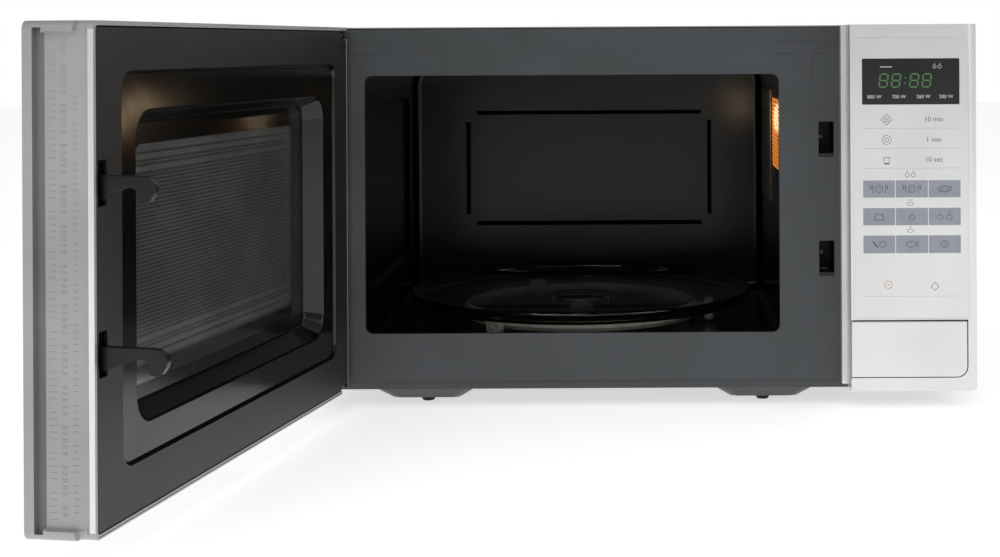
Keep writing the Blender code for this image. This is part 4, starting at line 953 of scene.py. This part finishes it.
def makeCoupler():
    # the drive hub: a stepped disc with three lobes
    hub = turnProfile("hub", [(0, 37.3), (8.0, 37.3), (8.6, 38.0), (8.6, 44.5), (8.0, 45.2), (6.0, 45.4),
                              (5.6, 46.0), (5.6, 50.4), (5.0, 51.0), (0, 51.0)], 40)
    for index in range(3):
        angle = math.radians(150 + 120 * index)
        lobe = roundBlock("lobe", (0, -3.1, 46.6), (14.6, 3.1, 50.6), "Z", 2.9, 5)
        lobe.matrix_world = Matrix.Rotation(angle, 4, "Z")
        applyScale(lobe)
        fuse(hub, lobe)
    soften(hub, 0.35, 2, 40)
    finishPiece(hub, "drive_coupler_hub", "turntable_drive", whitePlastic, tablePlace, ["drive_coupler"],
                35)


makeTray(tray)
makeCoupler()
print("turntable")

panelFrame = {
    "left": 134.3, "stepX": 137.3, "right": 221.5, "front": -35.5, "stepY": -9.2, "back": -0.3,
    "low": 17.5, "high": 259.5, "round": 7.3, "wall": 2.2,
    "filmLow": (139.1, 65.5), "filmHigh": (215.3, 250.9), "filmDepth": 0.55,
    "buttonLow": (137.4, 26.4), "buttonHigh": (214.4, 64.6),
    "displayLow": (145.2, 206.6), "displayHigh": (209.4, 236.9),
}


def makePanelFrame(v):
    shell = addBlock("panel", (v["stepX"], v["front"], v["low"]), (v["right"], v["stepY"] + 1, v["high"]))
    roundCorners(shell, "Z", v["round"], 8, lambda p: p.x > v["right"] - 1 and p.y < v["front"] + 1)
    fuse(shell, addBlock("rear", (v["left"], v["stepY"], v["low"]), (v["right"], v["back"], v["high"])))
    carve(shell, addBlock("hollow", (v["stepX"] + v["wall"], v["front"] + v["wall"], v["low"] + v["wall"]),
                          (v["right"] - v["wall"], v["back"] + 1, v["high"] - v["wall"])))
    (x0, z0), (x1, z1) = v["filmLow"], v["filmHigh"]
    film = addBlock("film", (x0, v["front"] - 1, z0), (x1, v["front"] + v["filmDepth"], z1))
    roundCorners(film, "Y", 7.0, 6, lambda p: p.x > 200 and p.z > 200)
    roundCorners(film, "Y", 1.4, 3, lambda p: p.x < 200 or p.z < 200)
    carve(shell, film)
    (x0, z0), (x1, z1) = v["buttonLow"], v["buttonHigh"]
    mouth = addBlock("mouth", (x0 - 2, v["front"] - 1, z0), (x1, v["front"] + 8, z1))
    roundCorners(mouth, "Y", 7.5, 6, lambda p: p.x > 200 and p.z < 40)
    carve(shell, mouth)
    (x0, z0), (x1, z1) = v["displayLow"], v["displayHigh"]
    carve(shell, roundBlock("display", (x0, v["front"] - 1, z0), (x1, v["front"] + 6, z1), "Y", 0.6, 2))
    soften(shell, 0.35, 2, 40)
    finishPiece(shell, "panel_frame_shell", "cabinet", silverPaint, cabinetPlace, ["panel_frame"],
                30)


keypad = {
    "low": (139.3, 65.7), "high": (215.1, 250.7), "front": -35.46, "sheet": 0.5,
    "displayLow": (145.1, 206.5), "displayHigh": (209.5, 237.0),
    "stripX": (145.3, 210.0), "strips": ((145.3, 156.6), (127.0, 138.4), (108.6, 120.3)),
    "dividers": (166.8, 188.5), "lift": 0.03, "iconLift": 0.04, "keyX": (156.0, 177.7, 199.3),
    "labelX": 192.3, "labelTall": 4.6, "labels": ((196.7, "10 min"), (183.3, "1 min"), (170.2, "10 sec")),
    "rowLines": (190.9, 177.7, 164.6, 80.2),
}


def makeKeypad(v):
    front = v["front"]
    film = addBlock("film", (v["low"][0], front, v["low"][1]),
                    (v["high"][0], front + v["sheet"], v["high"][1]))
    roundCorners(film, "Y", 6.8, 6, lambda p: p.x > 200 and p.z > 200)
    roundCorners(film, "Y", 1.2, 3, lambda p: p.x < 200 or p.z < 200)
    hole = roundBlock("hole", (v["displayLow"][0], front - 1, v["displayLow"][1]),
                      (v["displayHigh"][0], front + 2, v["displayHigh"][1]), "Y", 0.5, 2)
    carve(film, hole)
    finishPiece(film, "keypad_overlay_film", "cabinet", keypadFilm, cabinetPlace, ["keypad_overlay"],
                30)
    lift = v["lift"]
    keys = []
    edges = (v["stripX"][0], *v["dividers"], v["stripX"][1])
    for low, high in v["strips"]:
        for a, b in zip(edges, edges[1:]):
            keys.append(roundBlock("key", (a + 0.25, front - lift, low), (b - 0.25, front + 0.1, high),
                                   "Y", 0.4, 2))
    finishPiece(joinAll(keys), "keypad_key_fields", "cabinet", keyInk, cabinetPlace, (), 30)


def addRing(x, z, radius, wide, front, steps=24, squash=1.0):
    clearSelection()
    place = (x / 1000, front / 1000, z / 1000)
    bpy.ops.mesh.primitive_circle_add(vertices=steps, radius=radius / 1000, fill_type="NGON",
                                      location=place, rotation=(math.pi / 2, 0, 0))
    ring = bpy.context.active_object
    ring.scale = (1, squash, 1)
    applyScale(ring)
    openWhole(ring, "FACE")
    bpy.ops.mesh.inset(thickness=wide / 1000, depth=0)
    bpy.ops.mesh.delete(type="FACE")
    bpy.ops.mesh.select_all(action="SELECT")
    bpy.ops.mesh.extrude_region_move(TRANSFORM_OT_translate={"value": (0, 0.00004, 0)})
    bpy.ops.mesh.select_all(action="SELECT")
    bpy.ops.mesh.normals_make_consistent(inside=False)
    closeEdit()
    return ring


def addStroke(x, z, wide, tall, front, turn=0.0):
    bar = addBlock("stroke", (-wide / 2, 0, -tall / 2), (wide / 2, 0.04, tall / 2))
    bar.matrix_world = (Matrix.Translation((x / 1000, front / 1000, z / 1000))
                        @ Matrix.Rotation(math.radians(turn), 4, "Y"))
    applyScale(bar)
    return bar


def addWords(text, x, z, tall, front, align="CENTER"):
    clearSelection()
    bpy.ops.object.text_add(location=(0, 0, 0))
    words = bpy.context.active_object
    words.data.body = text
    words.data.size = tall / 1000
    words.data.align_x = align
    words.data.align_y = "CENTER"
    words.data.extrude = 0.00002
    words.data.resolution_u = 4
    bpy.ops.object.convert(target="MESH")
    words = bpy.context.active_object
    words.matrix_world = (Matrix.Translation((x / 1000, (front + 0.02) / 1000, z / 1000))
                          @ Matrix.Rotation(math.pi / 2, 4, "X"))
    applyScale(words)
    return words


def platesIcon(x, z, front):
    made = [addRing(x, z, 2.6, 0.35, front, 20), addRing(x, z, 1.4, 0.25, front, 16)]
    for side in (-1, 1):
        made += [addStroke(x + side * 4.1, z, 0.4, 5.6, front),
                 addStroke(x + side * 5.4, z + 1, 0.7, 2.6, front)]
    return made


def loafIcon(x, z, front):
    slices = [addStroke(x - 3 + step * 2, z - 0.4, 0.4, 4.2, front, 24) for step in range(4)]
    return slices + [addRing(x, z, 4.6, 0.35, front, 24, 0.5)]


def potIcon(x, z, front):
    return [addStroke(x, z - 2.2, 7.0, 0.5, front), addStroke(x - 2.6, z, 0.4, 4.4, front, 12),
            addStroke(x + 2.6, z, 0.4, 4.4, front, -12), addStroke(x, z + 1.4, 4.6, 0.4, front, 10)]


def cupIcon(x, z, front):
    return [addRing(x, z - 0.6, 2.1, 0.35, front, 20, 0.75), addStroke(x, z + 2.2, 0.35, 1.8, front, 15)]


def cupsIcon(x, z, front):
    return cupIcon(x - 3, z, front) + cupIcon(x + 3, z, front)


def rootIcon(x, z, front):
    return [addStroke(x - 2.6, z, 0.9, 5.4, front, -40), addRing(x + 2.4, z, 2.3, 0.35, front)]


def fishIcon(x, z, front):
    return [addRing(x - 0.6, z, 3.4, 0.35, front, 24, 0.6), addStroke(x + 3.6, z + 0.8, 0.4, 2.6, front, 35),
            addStroke(x + 3.6, z - 0.8, 0.4, 2.6, front, -35)]


def bowlIcon(x, z, front):
    return [addRing(x, z, 2.8, 0.35, front, 24, 0.85), addRing(x + 0.4, z + 0.4, 1.2, 0.25, front, 14)]


keyIcons = (platesIcon, platesIcon, loafIcon, potIcon, cupIcon, cupsIcon, rootIcon, fishIcon, bowlIcon)


def makePrint(v):
    front = v["front"] - 0.045
    dark = []
    for z, text in v["labels"]:
        dark.append(addWords(text, v["labelX"], z, v["labelTall"], front))
    # icons of the three time rows: waves in a frame, a warm ring, a cup
    dark.append(addRing(161.2, 196.7, 3.9, 0.3, front, 4))
    for shift in (-1.1, 0.2, 1.5):
        dark.append(addStroke(161.2, 196.3 + shift, 4.0, 0.35, front, 6))
    dark += [addRing(161.2, 183.3, 3.1, 0.32, front), addRing(161.2, 183.3, 1.4, 0.3, front, 16)]
    dark += [addStroke(161.2, 171.6, 4.2, 0.35, front), addStroke(159.4, 170.0, 0.35, 3.2, front, -8),
             addStroke(163.0, 170.0, 0.35, 3.2, front, 8), addStroke(161.2, 167.6, 3.6, 0.9, front)]
    # small pairs of drops and bowls over the key rows
    for x in (174.6, 178.6):
        dark += [addRing(x, 160.2, 1.5, 0.28, front, 16), addStroke(x, 162.4, 0.3, 1.3, front)]
    dark += [addRing(176.6, 141.2, 2.4, 0.28, front, 20, 0.5), addStroke(176.6, 143.6, 3.4, 0.3, front),
             addRing(176.6, 123.4, 2.2, 0.28, front, 20, 0.55), addStroke(176.6, 125.6, 0.3, 1.6, front, 25)]
    places = [(x, (low + high) / 2) for low, high in v["strips"] for x in v["keyX"]]
    for draw, (x, z) in zip(keyIcons, places):
        dark += draw(x, z, front - v["iconLift"])
    dark.append(addRing(192.6, 86.6, 2.9, 0.35, front, 4))
    finishPiece(joinAll(dark), "keypad_dark_print", "cabinet", darkInk, cabinetPlace, (), 0)
    stop = joinAll([addRing(161.9, 87.9, 2.6, 0.32, front, 28), addStroke(161.9, 87.9, 2.0, 0.4, front)])
    finishPiece(stop, "keypad_stop_print", "cabinet", redInk, cabinetPlace, (), 0)
    faint = [addStroke(177.6, z, 64.6, 0.16, front + 0.02) for z in v["rowLines"]]
    finishPiece(joinAll(faint), "keypad_row_lines", "cabinet", keyInk, cabinetPlace, (), 0)


display = {
    "low": (145.3, -35.46, 206.7), "high": (209.3, -32.84, 236.8), "digitTall": 8.6, "digitWide": 5.2,
    "digitX": (159.4, 167.6, 179.6, 187.8), "digitZ": 222.4, "bar": 0.95,
    "leanDegrees": 7, "dotsX": 173.6, "labelZ": 211.6, "labelTall": 3.3,
    "labels": ((153.2, "800 W"), (169.4, "700 W"), (185.6, "360 W"), (200.6, "200 W")),
}


def makeDisplay(v):
    pane = roundBlock("pane", v["low"], v["high"], "Y", 0.5, 3)
    soften(pane, 0.15, 1, 50)
    finishPiece(pane, "display_window_pane", "cabinet", displayBlack, cabinetPlace, ["display_window"],
                30)
    front = v["low"][1] - 0.05
    tall, wide, bar = v["digitTall"], v["digitWide"], v["bar"]
    slope = math.tan(math.radians(v["leanDegrees"]))
    parts = []
    for x in v["digitX"]:
        for side in (-1, 1):
            for rise in (-tall / 4, tall / 4):
                parts.append(addStroke(x + side * wide / 2 + rise * slope, v["digitZ"] + rise, bar,
                                       tall / 2 - 0.9, front, v["leanDegrees"]))
        for rise in (-tall / 2, 0, tall / 2):
            parts.append(addStroke(x + rise * slope, v["digitZ"] + rise, wide - 1.1, bar, front))
    for level in (-1, 1):
        parts.append(addStroke(v["dotsX"] + level * 0.2, v["digitZ"] + level * 1.9, 0.9, 0.9, front))
    finishPiece(joinAll(parts), "display_digits", "cabinet", litDigits, cabinetPlace, (), 0)
    labels = []
    for x, text in v["labels"]:
        labels.append(addWords(text, x, v["labelZ"], v["labelTall"], front))
    labels += [addRing(193.0, 231.4, 1.2, 0.25, front, 14), addRing(196.4, 231.4, 1.2, 0.25, front, 14),
               addStroke(193.0, 233.3, 0.3, 1.0, front), addStroke(196.4, 233.3, 0.3, 1.0, front),
               addStroke(161.0, 231.4, 8.0, 0.5, front)]
    finishPiece(joinAll(labels), "display_labels", "cabinet", whiteInk, cabinetPlace, (), 0)


releaseButton = {
    "low": (137.5, -35.46, 26.8), "high": (213.9, -30.5, 63.6), "corner": 7.0,
    "armLow": (170, -31, 56), "armHigh": (180, 12.9, 62),
}


def makeButton(v):
    cap = addBlock("cap", v["low"], v["high"])
    roundCorners(cap, "Y", v["corner"], 6, lambda p: p.x > 200 and p.z < 40)
    soften(cap, 0.7, 3, 50)
    fuse(cap, addBlock("arm", v["armLow"], v["armHigh"]))
    finishPiece(cap, "door_release_cap", "release_button", silverPaint, cabinetPlace,
                ["door_release_button"], 30)


makePanelFrame(panelFrame)
makeKeypad(keypad)
makePrint(keypad)
makeDisplay(display)
makeButton(releaseButton)
print("control panel")

studio = {
    "floorSize": 12.0, "worldUp": 0.42, "worldBehind": 0.22, "worldFrom": (-0.9, 0.2),
    "keyPower": 16.0, "keySize": 1.6, "keyPlace": (-0.5, -1.9, 1.7),
    "fillPower": 6.0, "fillSize": 1.2, "fillPlace": (1.6, -1.4, 1.0), "aimHeight": 0.12,
    "lampPower": 0.035, "lampRadius": 0.012, "lampPlace": (92.0, 150.0, 190.0),
}


def makeStudio(v):
    clearSelection()
    bpy.ops.mesh.primitive_plane_add(size=v["floorSize"], location=(0, 0, -0.0002))
    floor = bpy.context.active_object
    floor.name = "studio_floor"
    pale = makeFinish("pale_studio_floor", {
        "dark": "#F4F4F4", "light": "#FAFAFA", "patchMm": 900, "grainMm": 4, "rough": (0.8, 0.9),
        "bump": 0.02, "bumpMm": 0.01,
    }, {"Emission Color": hexColour("#FFFFFF"), "Emission Strength": 0.6})
    floor.data.materials.append(pale)
    world = bpy.data.worlds.new("studio")
    bpy.context.scene.world = world
    world.use_nodes = True
    tree = world.node_tree
    tree.nodes.clear()
    direction = addNode(tree, "ShaderNodeTexCoord")
    split = addNode(tree, "ShaderNodeSeparateXYZ", {}, {"Vector": direction.outputs["Generated"]})
    ends = {"From Min": v["worldFrom"][0], "From Max": v["worldFrom"][1],
            "To Min": v["worldBehind"], "To Max": v["worldUp"]}
    strength = addNode(tree, "ShaderNodeMapRange", ends, {"Value": split.outputs["Y"]})
    plain = (1, 1, 1, 1)
    soft = addNode(tree, "ShaderNodeBackground", {"Color": plain},
                   {"Strength": strength.outputs["Result"]})
    white = addNode(tree, "ShaderNodeBackground", {"Color": plain, "Strength": 1.0})
    seen = addNode(tree, "ShaderNodeLightPath")
    mixed = addNode(tree, "ShaderNodeMixShader", {}, {0: seen.outputs["Is Camera Ray"],
                    1: soft.outputs["Background"], 2: white.outputs["Background"]})
    addNode(tree, "ShaderNodeOutputWorld", {}, {"Surface": mixed.outputs["Shader"]})
    for name in ("key", "fill"):
        light = bpy.data.lights.new(name + "_softbox", "AREA")
        light.shape = "SQUARE"
        light.size = v[name + "Size"]
        light.energy = v[name + "Power"]
        lamp = bpy.data.objects.new(name + "_softbox", light)
        bpy.context.scene.collection.objects.link(lamp)
        place = Vector(v[name + "Place"])
        lamp.location = place
        lamp.rotation_euler = (Vector((0, 0, v["aimHeight"])) - place).to_track_quat("-Z", "Y").to_euler()
    # the oven's own lamp, seen as a weak warm light just inside the cavity's right wall
    inner = bpy.data.lights.new("cavity_lamp", "POINT")
    inner.energy = v["lampPower"]
    inner.color = (1.0, 0.72, 0.45)
    inner.shadow_soft_size = v["lampRadius"]
    innerLamp = bpy.data.objects.new("cavity_lamp", inner)
    bpy.context.scene.collection.objects.link(innerLamp)
    innerLamp.location = cabinetPlace @ Vector([n / 1000 for n in v["lampPlace"]])
    bpy.context.scene.view_settings.view_transform = "Standard"


viewPoint = {
    "place": (0.0374, -1.118, 0.246), "lens": 59.8, "sensor": 36.0, "shift": (-0.146, -0.2325), "roll": 0.3,
}


def makeCamera(v):
    camera = bpy.data.cameras.new("camera")
    camera.lens = v["lens"]
    camera.sensor_width = v["sensor"]
    camera.shift_x, camera.shift_y = v["shift"]
    holder = bpy.data.objects.new("camera", camera)
    bpy.context.scene.collection.objects.link(holder)
    holder.location = v["place"]
    holder.rotation_euler = (math.pi / 2, math.radians(v["roll"]), 0)
    bpy.context.scene.camera = holder


makeStudio(studio)
makeCamera(viewPoint)
print("studio")
